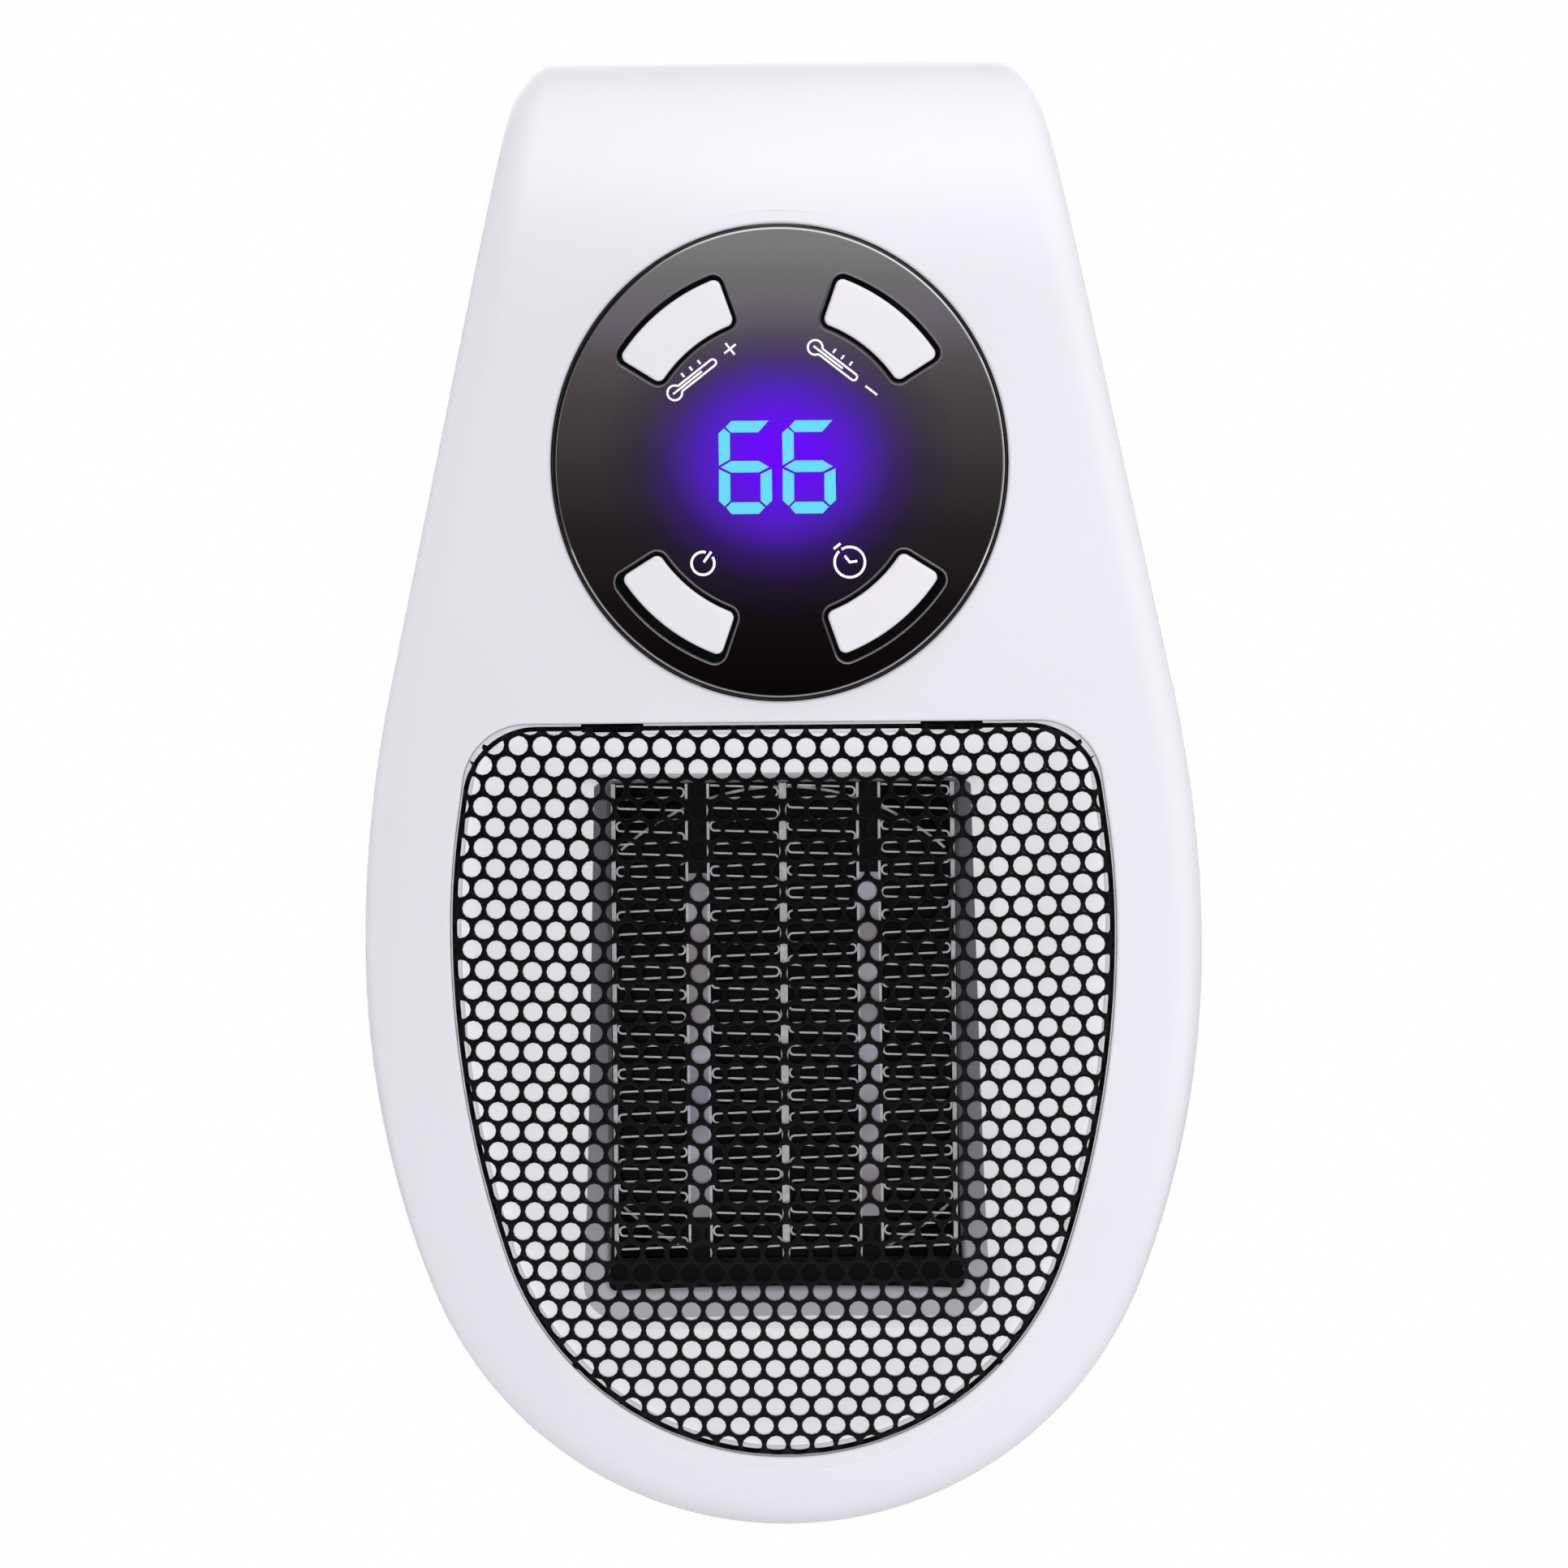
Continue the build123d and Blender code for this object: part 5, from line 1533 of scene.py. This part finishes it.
# Each lamp's place, its width and height, the share of full white that it gives a white surface
# that faces it at the target, and whether polished surfaces mirror it
SOFTBOXES = {
    "overhead": ((0.1, -0.3, 0.85), (0.8, 0.4), 0.41, False),
    "top_fill": ((0.0, 0.15, 0.9), (0.8, 0.4), 0.23, False),
    "low_fill": ((0.0, -0.8, -0.6), (0.6, 0.6), 0.3, False),
    "left_fill": ((-1.1, 0.35, 0.0), (0.8, 0.8), 0.43, False),
    "right_fill": ((1.1, 0.35, 0.0), (0.8, 0.8), 0.27, False),
    "right_lamp": ((0.5, -0.15, -0.05), (0.3, 0.5), 0.23, True),
    "rear_fill": ((0.0, 1.1, 0.05), (0.8, 0.8), 0.5, True),
}


def seen_directly(tree, path):
    """One for a ray from the camera, also where it has passed through something clear."""
    return add_node(tree, "ShaderNodeMath", {
        0: path.outputs["Is Camera Ray"], 1: path.outputs["Is Transmission Ray"]}, operation="MAXIMUM")


def studio_world():
    """White to the camera; to the object a dim room, whose gloss comes from above."""
    world = bpy.data.worlds.new("studio")
    bpy.context.scene.world = world
    world.use_nodes = True
    tree = world.node_tree
    tree.nodes.clear()
    way = add_node(tree, "ShaderNodeTexCoord").outputs["Generated"]
    parts = add_node(tree, "ShaderNodeSeparateXYZ", {"Vector": way})
    room = add_node(tree, "ShaderNodeBackground", {"Color": (0.985, 0.98, 1.0, 1.0), "Strength": 0.12})
    # What polished surfaces mirror: a bright bank overhead, dark below it, and white behind
    rise = add_node(tree, "ShaderNodeVectorMath", {0: way, 1: (0.34, 0, 0.94)}, operation="DOT_PRODUCT")
    height = add_node(tree, "ShaderNodeMath", {0: rise, 1: 0.5, 2: 0.5}, operation="MULTIPLY_ADD")
    bank = set_ramp(add_node(tree, "ShaderNodeValToRGB", {"Fac": height}), {
        0.0: 0.03, 0.34: 0.022, 0.5: 0.022, 0.7: 0.03, 0.79: 0.1, 0.86: 0.7, 0.93: 1.0, 1.0: 1.0})
    bright = add_node(tree, "ShaderNodeMath", {0: bank, 1: MIRROR_BAND}, operation="MULTIPLY")
    behind = add_node(tree, "ShaderNodeMath", {0: parts.outputs["Y"], 1: 0.2}, operation="GREATER_THAN")
    level = add_node(tree, "ShaderNodeMath", {0: bright, 1: behind}, operation="MAXIMUM")
    mirrored = add_node(tree, "ShaderNodeBackground", {"Strength": level})
    backdrop = add_node(tree, "ShaderNodeBackground", {"Strength": 1.0, "Color": (1, 1, 1, 1)})
    path = add_node(tree, "ShaderNodeLightPath")
    glossy = add_node(tree, "ShaderNodeMixShader", {0: path.outputs["Is Glossy Ray"], 1: room, 2: mirrored})
    seen = add_node(tree, "ShaderNodeMixShader", {0: seen_directly(tree, path), 1: glossy, 2: backdrop})
    add_node(tree, "ShaderNodeOutputWorld", {"Surface": seen})


def studio_floor():
    """A plain pale floor well below the object, white to the camera."""
    mesh = bpy.data.meshes.new("studio_floor")
    half, front, level = 3.0, -0.7, -0.42
    mesh.from_pydata([(-half, front, level), (half, front, level), (half, half, level),
                      (-half, half, level)], [], [(0, 1, 2, 3)])
    floor = new_object("studio_floor", mesh)
    material, tree, shader = new_material("pale_floor", {
        "Base Color": socket_color("#E8E8EA"), "Roughness": 0.9, "Specular IOR Level": 0.1})
    white = add_node(tree, "ShaderNodeEmission", {"Strength": 1.0})
    seen = seen_directly(tree, add_node(tree, "ShaderNodeLightPath"))
    share = add_node(tree, "ShaderNodeMath", {0: seen, 1: 0.85}, operation="MULTIPLY")
    mixed = add_node(tree, "ShaderNodeMixShader", {0: share, 1: shader, 2: white})
    tree.links.new(mixed.outputs[0], tree.nodes["Material Output"].inputs["Surface"])
    mesh.materials.append(material)


def place_lamp(name, kind, place, target, level, mirrored=False, **settings):
    """A light that faces its target, and that polished surfaces mirror or don't."""
    light = bpy.data.lights.new(name, kind)
    light.energy = level
    for setting, value in settings.items():
        setattr(light, setting, value)
    lamp = new_object(name, light)
    lamp.location = place
    lamp.rotation_euler = (Vector(target) - Vector(place)).to_track_quat("-Z", "Y").to_euler()
    lamp.visible_glossy = mirrored


def photo_camera():
    """A long lens straight in front, with the photograph's framing and slight roll."""
    data = bpy.data.cameras.new("camera")
    pixel = PHOTO_SCALE_MM * MM
    data.sensor_width = 36.0
    data.lens = data.sensor_width * CAMERA_DISTANCE / (PHOTO_SIDE_PX * pixel)
    data.clip_start = 0.05
    data.clip_end = 20.0
    camera = new_object("camera", data)
    camera.location = ((PHOTO_CENTRE_PX[0] - PHOTO_ORIGIN_PX[0]) * pixel,
                       -FRAMING_DEPTH * MM - CAMERA_DISTANCE,
                       (PHOTO_ORIGIN_PX[1] - PHOTO_CENTRE_PX[1]) * pixel)
    camera.rotation_euler = (math.radians(90), math.radians(PHOTO_ROLL_DEG), 0)
    bpy.context.scene.camera = camera


class HEATER_OT_stage(bpy.types.Operator):
    """Make the floor, the lights and the camera"""
    bl_idname = "heater.stage"
    bl_label = "Stage"

    def execute(self, context):
        context.scene.view_settings.view_transform = "Standard"
        studio_world()
        studio_floor()
        # The photographer's lamp near the lens, which lights the tray through the grille
        place_lamp("frontal_beam", "SUN", (0, 0, 0), (0, 1, 0), 2.0, angle=math.radians(1.5))
        for name, (place, (width, height), share, mirrored) in SOFTBOXES.items():
            level = share * math.pi ** 2 * math.dist(place, LAMP_TARGET) ** 2
            place_lamp(name, "AREA", place, LAMP_TARGET, level, mirrored, shape="RECTANGLE",
                       size=width, size_y=height)
        photo_camera()
        return {"FINISHED"}


class HEATER_PT_sidebar(bpy.types.Panel):
    """Lists the steps that build the heater"""
    bl_label = "Plug-in fan heater"
    bl_idname = "HEATER_PT_sidebar"
    bl_space_type = "VIEW_3D"
    bl_region_type = "UI"
    bl_category = "Heater"

    def draw(self, context):
        for group in (context.scene.heater_sizes, context.scene.heater_colours):
            for name in group.__annotations__:
                self.layout.prop(group, name)
        for step in STEPS:
            self.layout.operator(step.bl_idname)


STEPS = [HEATER_OT_housing, HEATER_OT_panel, HEATER_OT_grille, HEATER_OT_tray, HEATER_OT_core,
         HEATER_OT_moulded, HEATER_OT_fan, HEATER_OT_screws, HEATER_OT_kept_nodes,
         HEATER_OT_stage]
CLASSES = [HeaterSizes, HeaterColours, *STEPS, HEATER_PT_sidebar]


def register():
    for item in CLASSES:
        bpy.utils.register_class(item)
    bpy.types.Scene.heater_sizes = bpy.props.PointerProperty(type=HeaterSizes)
    bpy.types.Scene.heater_colours = bpy.props.PointerProperty(type=HeaterColours)


def unregister():
    del bpy.types.Scene.heater_sizes
    del bpy.types.Scene.heater_colours
    for item in reversed(CLASSES):
        bpy.utils.unregister_class(item)


def main():
    register()
    make_finishes(bpy.context.scene.heater_colours)
    for step in STEPS:
        group, name = step.bl_idname.split(".")
        getattr(getattr(bpy.ops, group), name)()


if __name__ == "__main__":
    main()
